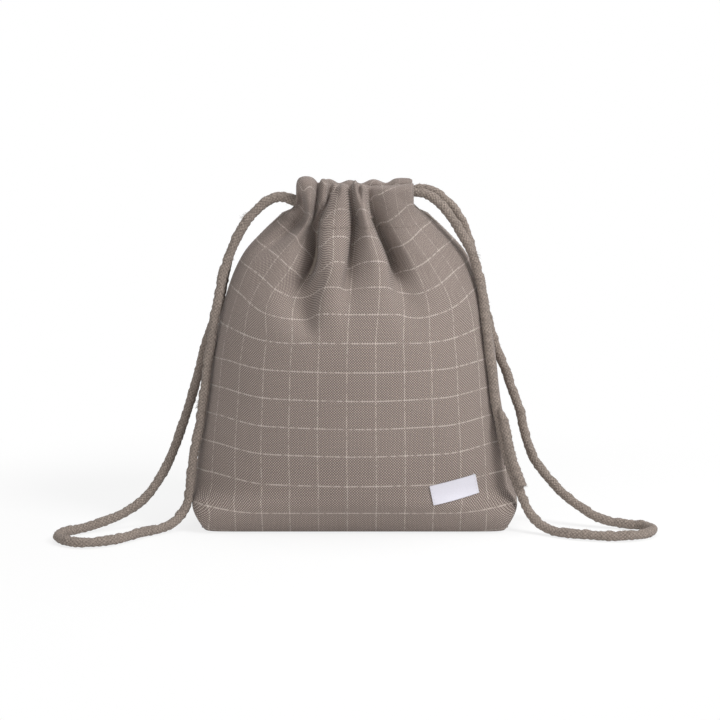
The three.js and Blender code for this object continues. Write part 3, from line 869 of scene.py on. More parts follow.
@dataclass(frozen=True)
class Fuzz:
    """Loose fibres that stand off a cotton cord, with a few longer tufts.

    Args:
        count: Fibres spread over the cord.
        tufts: Places near which the cord has a tuft.
        frayed: Whether the far end of the cord is frayed.
    """

    count: int
    tufts: tuple[Point, ...] = ()
    frayed: bool = False
    tuft_fibres: int = 34
    frayed_fibres: int = 130
    shortest: float = 0.0004
    longest: float = 0.0015
    thickness: float = 0.00009
    lean: float = 0.9
    kink: float = 0.45
    rooted: float = 0.94
    elbow_width: float = 0.75
    tuft_reach: Zone = (0.0012, 0.0034)
    tuft_lean: Zone = (0.6, 0.4)
    frayed_reach: Zone = (0.0006, 0.0022)
    frayed_lean: Zone = (3.0, 9.0)

    def _roots(
        self, line: np.ndarray, out: np.ndarray, rng: np.random.Generator
    ) -> tuple[np.ndarray, ...]:
        """Chooses where the fibres stand.

        Args:
            line: Centres of the cord's rings.
            out: Directions out from them, rings by sides.
            rng: Source of the chances.

        Returns:
            Ring, side, length and lean along the cord of each fibre.
        """
        sides = out.shape[1]
        ring = rng.integers(2, len(line) - 2, self.count)
        side = rng.integers(0, sides, self.count)
        reach = self.shortest + (self.longest - self.shortest) * rng.random(self.count) ** 2
        groups = [(ring, side, reach, rng.normal(0.0, self.lean, self.count))]
        for tuft in self.tufts:
            near = int(np.argmin(np.linalg.norm(line - np.array(tuft), axis=1)))
            toward = int(np.argmax(out[near] @ (np.sign(tuft[0]), -0.5, 0.8)))
            groups.append((
                near + rng.integers(-3, 4, self.tuft_fibres),
                (toward + rng.integers(-2, 3, self.tuft_fibres)) % sides,
                rng.uniform(*self.tuft_reach, self.tuft_fibres),
                rng.normal(*self.tuft_lean, self.tuft_fibres),
            ))
        if self.frayed:
            groups.append((
                np.full(self.frayed_fibres, len(line) - 1),
                rng.integers(0, sides, self.frayed_fibres),
                rng.uniform(*self.frayed_reach, self.frayed_fibres),
                rng.uniform(*self.frayed_lean, self.frayed_fibres),
            ))
        return tuple(np.concatenate(column) for column in zip(*groups))

    def build(
        self, name: str, line: np.ndarray, radius: np.ndarray, seed: int
    ) -> bpy.types.Object:
        """Makes the fibres.

        Args:
            name: Name of the piece.
            line: Centres of the cord's rings.
            radius: Radius of the cord at each ring and side.
            seed: Number that the chances start from.

        Returns:
            The fibres as one piece, each a bent spike. None of them reaches below the floor.
        """
        rng = np.random.default_rng(seed)
        sides = radius.shape[1]
        ahead, out = rings(line, sides)
        ring, side, reach, lean = self._roots(line, out, rng)
        inward = np.where(ring == len(line) - 1, rng.random(len(ring)) ** 0.5, self.rooted)
        start = line[ring] + out[ring, side] * (radius[ring, side] * inward)[:, None]
        first = unit(out[ring, side] + ahead[ring] * lean[:, None])
        then = unit(first + rng.normal(0.0, self.kink, first.shape))
        elbow = start + first * (reach * 0.5)[:, None]
        tip = elbow + then * (reach * 0.5)[:, None]
        round_one = unit(np.cross(first, ahead[ring] + 0.01))
        round_two = np.cross(first, round_one)
        points = []
        for centre, wide in ((start, 1.0), (elbow, self.elbow_width)):
            for turn in range(3):
                angle = 2 * math.pi * turn / 3
                off = round_one * math.cos(angle) + round_two * math.sin(angle)
                points.append(centre + off * (self.thickness * wide / 2))
        points = np.stack([*points, tip], 1)
        above = points[:, :, 2].min(axis=1) > 0.0
        points, ring, side = points[above], ring[above], side[above]
        firsts = np.arange(len(points)) * points.shape[1]
        faces = (firsts[:, None, None] + SPIKE_FACES[None]).reshape(-1, 3)
        place = np.stack([side / sides, walked(line)[ring]], 1)
        uvs = np.repeat(place, SPIKE_FACES.size, axis=0)
        return new_piece(name, points.reshape(-1, 3), faces, uvs)


@dataclass
class Drawcord:
    """One braided drawcord: a loop with its two leads, and the run that stays in the casing."""

    hand: Hand
    level: float
    route: tuple[Point, ...]
    length: float
    diameter: float = 0.0052
    strand_y: float = 0.012
    casing_end: float = 0.0315
    lead_start: float = 0.0105
    lead_insets: Zone = (0.009, 0.003)
    bend_start: float = 0.0345
    bend_end: float = 0.0585
    bend_drop: float = 0.0100
    bridge_reach: float = 0.0024
    bridge_inset: float = 0.0030
    bridge_points: int = 5
    run_knots: tuple[float, ...] = (0.0, 0.3, 0.6, 0.9)
    run_overlap: float = 0.0003
    run_slimness: float = 0.97
    sides: int = 28
    ring_step: float = 0.0006
    lump_waves: tuple[float, ...] = (0.0031, 0.0043, 0.0062, 0.011, 0.023)
    most_lump: float = 2.4
    core_share: float = 0.95
    yarn_share: float = 0.03
    lump_share: float = 0.062
    grain_share: float = 0.02
    braid_seed: int = 3
    run_seed: int = 5
    fuzz_seed: int = 8
    braid: BraidedCotton = field(default_factory=BraidedCotton)
    fuzz: Fuzz = Fuzz(2600)

    def radius_along(self, line: np.ndarray, seed: int, diameter: float) -> np.ndarray:
        """Radius of the braid at each ring and side, with its yarns and small lumps."""
        length = walked(line)[:, None]
        turn = np.linspace(0.0, 1.0, self.sides, endpoint=False)[None, :]
        lead, rise = turn * self.braid.strands, length / self.braid.cell
        yarn = np.abs(np.sin(math.pi * (lead + rise)) * np.sin(math.pi * (lead - rise)))
        rng = np.random.default_rng(seed)
        lumps = np.zeros((len(line), self.sides))
        for wave in self.lump_waves:
            for round_it in (-1, 0, 1, 2):
                phase = 2 * math.pi * (length / wave + round_it * turn)
                lumps += np.sin(phase + rng.uniform(0, ANY_PHASE)) * wave**0.2
        lumps = np.clip(lumps / lumps.std(), -self.most_lump, self.most_lump)
        grain = rng.normal(0.0, 1.0, (len(line), self.sides))
        swell = self.core_share + self.yarn_share * yarn**0.6 + self.lump_share * lumps
        return diameter / 2 * (swell + self.grain_share * grain)

    def centreline(self) -> np.ndarray:
        """Line of the front lead, the free loop and the back lead."""
        side = self.hand.value
        starts = (self.lead_start, *(self.casing_end - inset for inset in self.lead_insets))
        front = [(side * x, -self.strand_y, self.level) for x in starts]
        back = [(side * x, self.strand_y, self.level) for x in reversed(starts)]
        return smooth_route([*front, *self.route, *back], self.ring_step)

    def loop(self, cotton: bpy.types.Material) -> list[bpy.types.Object]:
        """Makes the leads and the free loop as one cord that bends at the casing's end.

        Args:
            cotton: Finish of the braid.

        Returns:
            The cord and its loose fibres.
        """
        name = f"{self.hand.word}_drawcord"
        line = self.centreline()
        radius = self.radius_along(line, self.braid_seed, self.diameter)
        cord = tube(f"{name}_braid", line, radius, self.sides)
        fibres = self.fuzz.build(f"{name}_fuzz", line, radius, self.fuzz_seed)
        for piece in (cord, fibres):
            piece.data.materials.append(cotton)
            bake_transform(piece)
        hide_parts(f"{name}_front_lead", f"{name}_back_lead", f"{name}_loop")
        return [cord, fibres]

    def run(self, cotton: bpy.types.Material) -> bpy.types.Object:
        """Makes the stretch along the casing and round its far end."""
        side = self.hand.value
        start = side * (self.lead_start - self.run_overlap)
        far = -side * (self.casing_end - self.bridge_inset - self.bridge_reach)
        places = [start + (far - start) * t for t in self.run_knots]
        front = [(x, -self.strand_y, self.level) for x in places]
        for t in np.linspace(0.0, 1.0, self.bridge_points):
            angle = math.pi / 2 * t
            out = far - side * self.bridge_reach * math.sin(angle)
            depth = -self.strand_y + self.bridge_reach * (1 - math.cos(angle))
            front.append((out, depth, self.level))
        points = [*front, *[(x, -y, z) for x, y, z in reversed(front)]]
        line = smooth_route(points, self.ring_step)
        name = f"{self.hand.word}_drawcord_run"
        radius = self.radius_along(line, self.run_seed, self.diameter * self.run_slimness)
        run = tube(f"{name}_braid", line, radius, self.sides)
        return dress(run, cotton, "pouch", name)


LEFT_ROUTE: tuple[Point, ...] = (
    (-0.0325, -0.0120, 0.1778), (-0.0362, -0.0120, 0.1795), (-0.0405, -0.0120, 0.1803),
    (-0.0455, -0.0120, 0.1788), (-0.0525, -0.0118, 0.1731), (-0.0581, -0.0114, 0.1672),
    (-0.0627, -0.0110, 0.1593), (-0.0669, -0.0107, 0.1503), (-0.0707, -0.0108, 0.1392),
    (-0.0730, -0.0118, 0.1284), (-0.0750, -0.0120, 0.1180), (-0.0778, -0.0122, 0.1005),
    (-0.0798, -0.0124, 0.0885), (-0.0822, -0.0126, 0.0705), (-0.0850, -0.0129, 0.0537),
    (-0.0883, -0.0134, 0.0372), (-0.0900, -0.0146, 0.0208), (-0.0917, -0.0162, 0.0135),
    (-0.0947, -0.0180, 0.0084), (-0.0992, -0.0219, 0.0043), (-0.1053, -0.0268, 0.0029),
    (-0.1122, -0.0332, 0.0029),
    (-0.1210, -0.0450, 0.0029), (-0.1320, -0.0550, 0.0029), (-0.1430, -0.0570, 0.0029),
    (-0.1525, -0.0520, 0.0029), (-0.1570, -0.0430, 0.0029), (-0.1550, -0.0340, 0.0029),
    (-0.1480, -0.0270, 0.0029), (-0.1380, -0.0200, 0.0046), (-0.1265, -0.0120, 0.0080),
    (-0.1156, -0.0060, 0.0150), (-0.1062, -0.0020, 0.0278), (-0.1002, 0.0000, 0.0403),
    (-0.0946, 0.0020, 0.0559), (-0.0897, 0.0040, 0.0710), (-0.0861, 0.0055, 0.0840),
    (-0.0815, 0.0066, 0.1010), (-0.0762, 0.0080, 0.1160), (-0.0734, 0.0088, 0.1264),
    (-0.0714, 0.0094, 0.1374), (-0.0684, 0.0102, 0.1486), (-0.0641, 0.0108, 0.1580),
    (-0.0594, 0.0113, 0.1661), (-0.0538, 0.0118, 0.1722), (-0.0466, 0.0120, 0.1776),
    (-0.0408, 0.0120, 0.1794), (-0.0362, 0.0120, 0.1790), (-0.0325, 0.0120, 0.1776),
)
RIGHT_ROUTE: tuple[Point, ...] = (
    (0.0325, -0.0120, 0.1827), (0.0366, -0.0121, 0.1822), (0.0402, -0.0122, 0.1808),
    (0.0436, -0.0123, 0.1784), (0.0489, -0.0127, 0.1726), (0.0529, -0.0131, 0.1673),
    (0.0568, -0.0136, 0.1611), (0.0628, -0.0144, 0.1496), (0.0662, -0.0155, 0.1386),
    (0.0688, -0.0178, 0.1235), (0.0708, -0.0210, 0.1060), (0.0732, -0.0213, 0.0880),
    (0.0759, -0.0204, 0.0680), (0.0790, -0.0198, 0.0530), (0.0822, -0.0197, 0.0400),
    (0.0873, -0.0202, 0.0270), (0.0916, -0.0220, 0.0160), (0.0968, -0.0250, 0.0078),
    (0.1040, -0.0300, 0.0032), (0.1140, -0.0370, 0.0029), (0.1280, -0.0420, 0.0029),
    (0.1425, -0.0430, 0.0029), (0.1540, -0.0380, 0.0029), (0.1600, -0.0285, 0.0029),
    (0.1560, -0.0190, 0.0029), (0.1450, -0.0150, 0.0029), (0.1340, -0.0120, 0.0052),
    (0.1225, -0.0080, 0.0112), (0.1110, -0.0030, 0.0206), (0.1036, 0.0000, 0.0290),
    (0.0983, 0.0010, 0.0368), (0.0952, 0.0018, 0.0444), (0.0931, 0.0028, 0.0522),
    (0.0914, 0.0036, 0.0604), (0.0874, 0.0048, 0.0716), (0.0833, 0.0066, 0.0835),
    (0.0806, 0.0086, 0.0898), (0.0774, 0.0112, 0.0986), (0.0748, 0.0137, 0.1066),
    (0.0716, 0.0136, 0.1200), (0.0689, 0.0126, 0.1320), (0.0666, 0.0115, 0.1410),
    (0.0641, 0.0107, 0.1496), (0.0607, 0.0110, 0.1610), (0.0570, 0.0115, 0.1687),
    (0.0523, 0.0118, 0.1748), (0.0458, 0.0120, 0.1806), (0.0412, 0.0120, 0.1830),
    (0.0368, 0.0120, 0.1837), (0.0325, 0.0120, 0.1830),
)
LEFT_FUZZ = Fuzz(2600, tufts=((-0.0575, -0.0115, 0.1690), (-0.0850, -0.0100, 0.0690)))
RIGHT_FUZZ = Fuzz(2600, tufts=((0.0632, -0.0144, 0.1490), (0.1425, -0.0430, 0.0027)))


@dataclass
class CordTail:
    """Cut end of the right cord, laid over its front strand and sewn to it."""

    strand: tuple[Point, ...] = RIGHT_ROUTE[12:16]
    beside: Point = (0.0028, -0.0043, -0.0010)
    length: float = 0.0437
    diameter: float = 0.005
    taper: float = 0.006
    slimmed: float = 0.5
    tucked: float = 0.35
    braid_seed: int = 11
    fuzz_seed: int = 9
    fuzz: Fuzz = Fuzz(240, frayed=True)

    @property
    def route(self) -> list[Point]:
        """Middle of the tail, beside the strand."""
        return [tuple(np.add(point, self.beside)) for point in self.strand]

    def build(self, cord: Drawcord, cotton: bpy.types.Material) -> list[bpy.types.Object]:
        """Makes the tail with a frayed lower end.

        Args:
            cord: The cord whose braid it has.
            cotton: Finish of the braid.

        Returns:
            The tail and its loose fibres.
        """
        line = smooth_route(self.route, cord.ring_step)
        radius = cord.radius_along(line, self.braid_seed, self.diameter)
        top = 1.0 - ease(0.0, self.taper, walked(line))
        radius *= (1.0 - self.slimmed * top)[:, None]
        line = line - np.array(self.beside) * (self.tucked * top)[:, None]
        tail = tube("right_drawcord_tail_braid", line, radius, cord.sides)
        fibres = self.fuzz.build("right_drawcord_tail_fuzz", line, radius, self.fuzz_seed)
        for piece in (tail, fibres):
            piece.data.materials.append(cotton)
            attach(piece, "right_loop")
        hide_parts("right_drawcord_tail")
        return [tail, fibres]


# ---------------------------------------------------------------------------------------------
# Outer cloth


@dataclass(frozen=True)
class Gather:
    """How the cloth of one panel lies across the pouch at one height, as measured.

    Args:
        height: Height of the line across the pouch.
        places: Rows of place across the flat cloth, place across the pouch, and depth from the
            middle of the pouch, in millimetres. A wall line has the depth of a valley instead.
    """

    height: float
    places: tuple[tuple[float, float, float], ...]

    def at(self, cloth: np.ndarray) -> tuple[np.ndarray, np.ndarray]:
        """Place across the pouch and depth at places across the cloth, in metres."""
        rows = np.array(self.places) * 0.001
        return through(rows[:, 0], rows[:, 1], cloth), through(rows[:, 0], rows[:, 2], cloth)


@dataclass(frozen=True)
class Dent:
    """A small pucker in a casing."""

    cloth: float
    height: float
    depth: float
    reach: float
    tall: float


@dataclass(frozen=True)
class Gathering:
    """All the lines across one panel, from the lowest folds to the top edge, and its puckers."""

    low: Gather
    high: Gather
    foot: Gather
    middle: Gather
    top: Gather
    edge: tuple[tuple[float, float], ...]
    dents: tuple[Dent, ...]

    def edge_at(self, cloth: np.ndarray) -> np.ndarray:
        """Height of the top edge at places across the cloth."""
        rows = np.array(self.edge) * 0.001
        return through(rows[:, 0], rows[:, 1], cloth)


FRONT_GATHERS = Gathering(
    low=Gather(0.126, (
        (-101, -70.0, 0.0), (-88, -66.5, 0.0), (-72, -59.0, 0.0), (-60, -52.0, 0.0),
        (-49, -45.4, 0.6), (-42, -39.4, 2.6), (-37, -34.6, 6.0), (-32, -29.8, 9.8),
        (-27.5, -25.4, 12.0), (-24, -22.2, 10.4), (-21.4, -20.2, 5.2), (-18.4, -17.4, 0.6),
        (-11, -9.6, -0.8),
        (-6, -5.0, 2.0), (-2, -1.0, 1.8), (4, 5.0, 0.2), (11.5, 12.4, -0.6), (18, 18.4, 0.2),
        (23, 22.6, 3.2), (27.5, 26.2, 5.6), (34, 31.6, 4.4), (42, 38.2, 1.6),
        (57, 50.0, 0.0), (72, 59.5, 0.0), (88, 66.8, 0.0), (101, 70.0, 0.0),
    )),
    high=Gather(0.146, (
        (-101, -62.5, 0.0), (-90, -60.0, 0.0), (-76, -52.5, 0.0), (-62, -41.5, 0.0),
        (-55, -37.0, 0.8), (-50, -33.4, 3.0), (-46, -30.0, 6.2), (-42, -26.6, 11.4),
        (-38.5, -24.0, 16.8), (-35.6, -22.3, 21.2), (-33.2, -20.9, 22.4), (-31.4, -20.1, 19.6),
        (-30, -19.8, 13.0), (-28.6, -19.5, 7.6), (-27.2, -18.8, 2.8), (-25, -17.2, -0.6),
        (-19, -11.8, -3.2), (-12.8, -6.4, -1.6), (-10.4, -4.6, 1.2), (-8.8, -4.2, 6.0),
        (-7.2, -3.9, 10.8), (-4.8, -2.0, 10.4), (-1.4, 1.0, 5.2), (3, 5.0, 0.6),
        (9.5, 10.8, -2.8), (14.5, 15.0, -1.4), (17.2, 16.8, 1.2), (18.8, 17.3, 5.4),
        (20.2, 17.5, 10.8), (21.8, 17.9, 16.0), (23.8, 18.9, 18.8), (26.2, 20.6, 17.2),
        (29.6, 23.0, 12.6), (34, 26.0, 7.6), (40, 29.8, 3.8), (47, 34.4, 2.0),
        (57, 39.8, 0.2), (72, 49.0, 0.0), (88, 58.6, 0.0), (101, 62.5, 0.0),
    )),
    foot=Gather(0.167, (
        (-101, -40.3, 0.0), (-95, -38.4, 8.0), (-88, -34.4, 13.0), (-82, -30.6, 12.4),
        (-78, -28.4, 10.6), (-75, -27.6, 10.8), (-71, -26.6, 14.8), (-66, -25.2, 18.4),
        (-60, -23.8, 18.0), (-54, -22.8, 13.6), (-48, -22.6, 10.8), (-41, -21.8, 10.2),
        (-36, -20.6, 10.2), (-33, -19.2, 11.2), (-31, -19.0, 14.8), (-29, -18.8, 18.8),
        (-27, -17.9, 22.2), (-23.5, -15.4, 25.2), (-18.5, -11.0, 27.0), (-13, -5.6, 26.4),
        (-10.2, -2.9, 23.8), (-8.4, -1.8, 19.6), (-6.5, -1.0, 13.8), (-4, 0.6, 15.4),
        (-1, 2.0, 20.4), (3, 3.6, 25.0), (9, 5.8, 27.2), (14, 7.6, 26.0), (17.2, 8.9, 22.8),
        (19.4, 9.3, 18.6), (21.5, 9.5, 14.4), (24.5, 10.6, 12.2), (29, 13.0, 14.8),
        (40, 17.8, 20.4), (57, 25.0, 21.8), (72, 31.0, 19.0), (88, 36.6, 12.4), (101, 40.3, 0.0),
    )),
    middle=Gather(0.177, (
        (-101, -31.8, 16.8), (-93, -31.0, 18.6), (-87, -29.4, 16.4), (-82, -28.2, 15.4),
        (-78.5, -27.4, 15.6), (-74, -26.6, 20.4), (-68, -24.9, 23.8), (-60, -22.4, 22.6),
        (-53, -20.9, 17.6), (-49, -20.2, 15.6), (-43, -18.6, 20.2), (-37, -16.8, 20.8),
        (-31, -15.2, 16.6), (-28.5, -14.6, 15.6), (-25.5, -13.9, 20.2), (-18, -9.4, 24.2),
        (-11, -4.6, 23.4), (-8.2, -2.6, 19.2), (-6, -1.6, 15.6), (-3.5, -0.4, 18.8),
        (3, 1.8, 24.2), (10, 4.2, 24.6), (16.5, 6.4, 22.0), (20.5, 7.6, 17.4),
        (23.5, 8.2, 15.6), (30, 11.0, 18.4), (42, 16.2, 22.0), (57, 22.2, 23.2), (75, 28.0, 21.8),
        (90, 31.0, 19.0), (101, 31.6, 16.8),
    )),
    top=Gather(0.185, (
        (-101, -31.0, 16.8), (-93, -31.0, 20.0), (-84, -29.6, 22.8), (-74, -26.4, 24.6),
        (-64, -22.8, 23.4), (-54, -20.3, 18.8), (-49, -19.4, 15.6), (-43, -17.8, 20.2),
        (-36, -15.2, 21.2), (-31, -13.6, 17.4), (-28.5, -12.8, 15.6), (-24, -11.0, 19.8),
        (-17, -7.8, 22.8), (-10, -4.6, 21.6), (-7.5, -3.2, 17.8), (-6, -2.4, 15.6),
        (-3.5, -1.4, 18.4), (0, -0.2, 22.2), (4, 1.0, 21.8), (6.5, 1.8, 18.2), (9, 2.6, 19.6),
        (13, 4.0, 22.6), (18, 5.4, 20.2), (22.5, 6.6, 16.6), (24.5, 7.2, 15.6), (30, 9.0, 18.0),
        (40, 13.0, 21.4),
        (55, 20.2, 23.0), (72, 26.6, 22.6), (90, 30.4, 20.0), (101, 31.2, 16.8),
    )),
    edge=(
        (-101, 184.6), (-93, 187.8), (-84, 190.4), (-74, 191.4), (-64, 190.8), (-54, 188.6),
        (-49, 187.0), (-43, 189.8), (-36, 189.6), (-28.5, 187.0), (-23, 188.0), (-18, 187.0),
        (-13, 187.8), (-6, 186.6), (1, 189.4), (6.5, 187.4), (12, 187.6), (24.5, 186.2),
        (32, 186.4), (44, 186.4), (60, 186.8), (78, 187.4), (92, 187.6), (101, 187.2),
    ),
    dents=(
        Dent(0.036, 0.1846, 0.0030, 0.007, 0.0016), Dent(-0.021, 0.1838, 0.0032, 0.0034, 0.0030),
        Dent(-0.064, 0.1730, 0.0012, 0.008, 0.0030), Dent(0.066, 0.1790, 0.0010, 0.012, 0.0040),
    ),
)
BACK_GATHERS = Gathering(
    low=Gather(0.126, (
        (-101, -70.0, 0.0), (-88, -66.6, 0.0), (-72, -59.0, 0.2), (-62, -52.0, 2.4),
        (-57, -48.6, 3.0), (-50, -43.0, 1.0), (-38, -33.0, 0.0), (-28, -24.6, 2.6),
        (-22, -19.6, 4.6), (-16, -14.4, 2.2), (-5, -4.6, 0.0), (6, 5.4, 1.6),
        (12, 10.6, 3.0), (18, 16.0, 1.4), (31, 27.6, 0.0), (44, 38.4, 2.4),
        (50, 43.2, 3.6), (57, 48.6, 1.6), (72, 59.2, 0.0), (88, 66.8, 0.0), (101, 70.0, 0.0),
    )),
    high=Gather(0.146, (
        (-101, -62.5, 0.0), (-90, -60.0, 0.0), (-76, -51.4, 0.4), (-66, -44.0, 3.4),
        (-58, -39.0, 7.6), (-52, -35.0, 4.4), (-41, -27.4, -1.0), (-30, -19.6, 2.4),
        (-22, -15.0, 9.8), (-16, -11.2, 5.2), (-5, -3.8, -1.4), (6, 4.0, 3.0),
        (12, 7.8, 8.0), (18, 11.8, 3.4), (30, 20.6, -1.2), (42, 28.8, 3.6),
        (50, 33.4, 9.0), (57, 37.8, 4.0), (72, 48.2, 0.2), (88, 58.6, 0.0), (101, 62.5, 0.0),
    )),
    foot=Gather(0.167, (
        (-101, -40.3, 0.0), (-94, -37.8, 9.0), (-80, -32.0, 16.6), (-68, -27.2, 18.2),
        (-58, -23.8, 13.2), (-50, -20.8, 19.8), (-40, -16.4, 24.0), (-30, -12.4, 22.0),
        (-22, -9.4, 13.4), (-14, -6.2, 21.4), (-5, -2.4, 25.6), (4, 1.6, 23.4),
        (12, 4.8, 14.0), (20, 8.0, 21.8), (31, 12.8, 24.4), (42, 17.2, 21.0),
        (50, 20.2, 13.2), (58, 23.4, 18.6), (72, 29.4, 18.4), (90, 36.8, 11.4), (101, 40.3, 0.0),
    )),
    middle=Gather(0.177, (
        (-101, -31.6, 16.8), (-92, -30.2, 19.6), (-78, -26.2, 22.4), (-66, -22.6, 20.8),
        (-58, -20.6, 15.6), (-50, -18.2, 20.6), (-40, -14.6, 23.6), (-30, -11.2, 21.8),
        (-22, -9.0, 15.6), (-14, -6.2, 21.2), (-5, -2.6, 24.0), (4, 1.0, 22.8),
        (12, 3.8, 15.6), (20, 6.6, 21.4), (31, 11.2, 23.6), (42, 15.2, 21.4),
        (50, 17.8, 15.6), (58, 20.8, 20.4), (72, 25.6, 22.4), (90, 30.4, 19.6), (101, 31.6, 16.8),
    )),
    top=Gather(0.185, (
        (-101, -31.2, 16.8), (-92, -29.9, 20.2), (-78, -25.8, 22.6), (-66, -22.2, 20.8),
        (-58, -20.2, 15.6), (-50, -18.0, 20.2), (-40, -14.4, 22.8), (-30, -11.0, 21.2),
        (-22, -8.8, 15.6), (-14, -6.2, 20.6), (-5, -2.8, 23.2), (4, 0.6, 22.2),
        (12, 3.2, 15.6), (20, 5.8, 20.8), (31, 10.0, 23.0), (42, 14.2, 21.0),
        (50, 16.6, 15.6), (58, 19.4, 20.2), (72, 24.0, 22.6), (90, 29.4, 20.2), (101, 31.2, 16.8),
    )),
    edge=(
        (-101, 188.4), (-90, 189.4), (-76, 189.6), (-58, 187.0), (-40, 189.0), (-22, 186.8),
        (-5, 188.4), (12, 186.6), (31, 188.8), (50, 186.9), (66, 189.2), (88, 189.4),
        (101, 188.6),
    ),
    dents=(
        Dent(-0.040, 0.1840, 0.0018, 0.006, 0.0020),
        Dent(0.030, 0.1836, 0.0020, 0.006, 0.0020),
    ),
)


@dataclass
class PouchShell:
    """Outer cloth of the filled pouch: two panels with boxed corners, gathered at the mouth."""

    stations: tuple[Point, ...] = (
        (0.000, 0.0816, 0.0240), (0.0058, 0.0849, 0.0284), (0.0115, 0.0884, 0.0311),
        (0.0145, 0.0893, 0.0327), (0.0185, 0.0890, 0.0348), (0.045, 0.0850, 0.0425),
        (0.072, 0.0802, 0.0465), (0.100, 0.0765, 0.0475), (0.131, 0.0692, 0.0410),
        (0.150, 0.0606, 0.0325), (0.162, 0.0498, 0.0270), (0.174, 0.0370, 0.0210),
    )
    # Size of the cloth and of its grid.
    flat_width: float = 0.202
    columns: int = 112
    rows: int = 72
    base_rows: int = 6
    thickness: float = 0.0007
    fine_rows: int = 181
    section_points: int = 1201
    # Filled shape: boxed at the foot, leaning a little, uneven over the filling.
    boxed_below: float = 0.032
    box_power: float = 14.0
    box_blend: float = 0.02
    lean: float = 0.0007
    lean_height: float = 0.13
    filling_seed: int = 21
    filling_waves: int = 7
    filling_bumps: float = 0.0003
    filling_across: Zone = (1.0, 3.5)
    filling_up: Zone = (10.0, 45.0)
    filling_side: Zone = (0.0, 0.12)
    filling_foot: Zone = (0.01, 0.05)
    # Where the gathers take over from the smooth shape, and the side slits.
    smooth_below: float = 0.106
    smooth_lead: float = 0.02
    outline_until: float = 0.160
    overrun: float = 0.4
    neck: float = 0.167
    slit_foot: float = 0.171
    slit_share: float = 0.2
    lift_from: float = 0.112
    lift_until: float = 0.179
    # How the check lies: drawn at the foot, raised at the sides, twisted at the shoulders.
    foot_ease: float = 0.0048
    drawn_zone: Zone = (0.012, 0.055)
    let_out: float = 0.65
    let_out_zone: Zone = (0.125, 0.175)
    side_rise: float = 0.0033
    side_zone: Zone = (0.10, 0.27)
    twist: float = 0.29
    twist_middle: float = 0.054
    twist_across: Zone = (0.022, 0.042)
    twist_up: Zone = (0.100, 0.142)
    straight_below: float = 0.030
    straight_share: float = 0.4
    corner_zone: Zone = (0.06, 0.17)
    # Seams and base.
    seam_groove: float = 0.0006
    seam_shoulder: float = 0.3
    seam_gap: float = 0.0003
    floor_gap: float = 0.0002
    base_taper: float = 0.03
    # Casing: up the outside, over the arch and down the inside to the hem.
    casing_rows: int = 12
    casing_top: float = 0.187
    casing_levels: int = 81
    open_share: float = 0.08
    end_hurry: float = 1.4
    cord_level: float = 0.1735
    cord_room: float = 0.0154
    arch_rows: int = 8
    arch_rise: float = 0.0034
    arch_power: float = 0.75
    inner_rows: int = 7
    inner_depth: float = 0.0084
    ridge_depth: float = 0.0085
    ridge_draw: float = 0.0022
    hem_inset: float = 0.0018
    hem_lift: float = 0.0022
    hem_zone: Zone = (0.62, 1.0)
    hem_spread: float = 0.9
    hem_width: float = 0.995
    eased_below: int = 8
    eased_above: int = 7
    eased_side: float = 0.04
    easing_rounds: int = 6
    easing_step: float = 0.5
    # Simulation.
    sim_scale: float = 10.0
    sim_frames: int = 14
    surplus: float = 0.006
    pressure: float = 1.5
    hold: float = 0.2
    side_hold: float = 0.7
    held_side: float = 0.1
    most_moved: float = 0.004
    # Results: points and lengths up the cloth of each panel, and points of its casing.
    walls: dict[Face, np.ndarray] = field(default_factory=dict)
    lengths: dict[Face, np.ndarray] = field(default_factory=dict)
    rises: dict[Face, np.ndarray] = field(default_factory=dict)

    @property
    def shares(self) -> np.ndarray:
        """Places of the columns across a panel, from 0 to 1."""
        return np.linspace(0.0, 1.0, self.columns + 1)

    @property
    def cloth(self) -> np.ndarray:
        """Places of the columns across the flat cloth, from its middle."""
        return (self.shares - 0.5) * self.flat_width

    @property
    def from_side(self) -> np.ndarray:
        """Share of a panel's width between each column and the nearer side seam."""
        return np.minimum(self.shares, 1.0 - self.shares)

    @property
    def at_end(self) -> np.ndarray:
        """How much each column belongs to the open ends of the casing, from 0 to 1."""
        return 1.0 - ease(0.0, self.open_share, self.from_side)

    def gathers(self, face: Face) -> Gathering:
        """Lines across one panel."""
        return FRONT_GATHERS if face is Face.FRONT else BACK_GATHERS

    def outline(self, height: np.ndarray | float) -> tuple[np.ndarray, np.ndarray]:
        """Half width and half depth of the pouch at a height."""
        z, wide, deep = np.asarray(self.stations).T
        return through(z, wide, height), through(z, deep, height)

    def _section(self, wide: float, deep: float, power: float) -> np.ndarray:
        """Half of a rounded section, as fine points from its left end to its right end."""
        angle = np.linspace(math.pi, 0.0, self.section_points)
        x = np.sign(np.cos(angle)) * np.abs(np.cos(angle)) ** (2 / power)
        y = np.abs(np.sin(angle)) ** (2 / power)
        return np.stack([wide * x, deep * y], 1)

    def section(self, height: float, shares: np.ndarray, inset: float = 0.0) -> np.ndarray:
        """Smooth section of the filled pouch.

        Args:
            height: Height of the section.
            shares: Places along the half section, from 0 to 1.
            inset: How far the section is drawn in.

        Returns:
            Place across the pouch and depth at each place.
        """
        wide, deep = self.outline(height)
        boxed = (1.0 - float(ease(0.0, self.boxed_below, height))) ** 3
        power = 2.0 + (self.box_power - 2.0) * boxed
        half = self._section(float(wide) - inset, float(deep) - inset, power)
        return spaced(half, shares * walked(half)[-1])

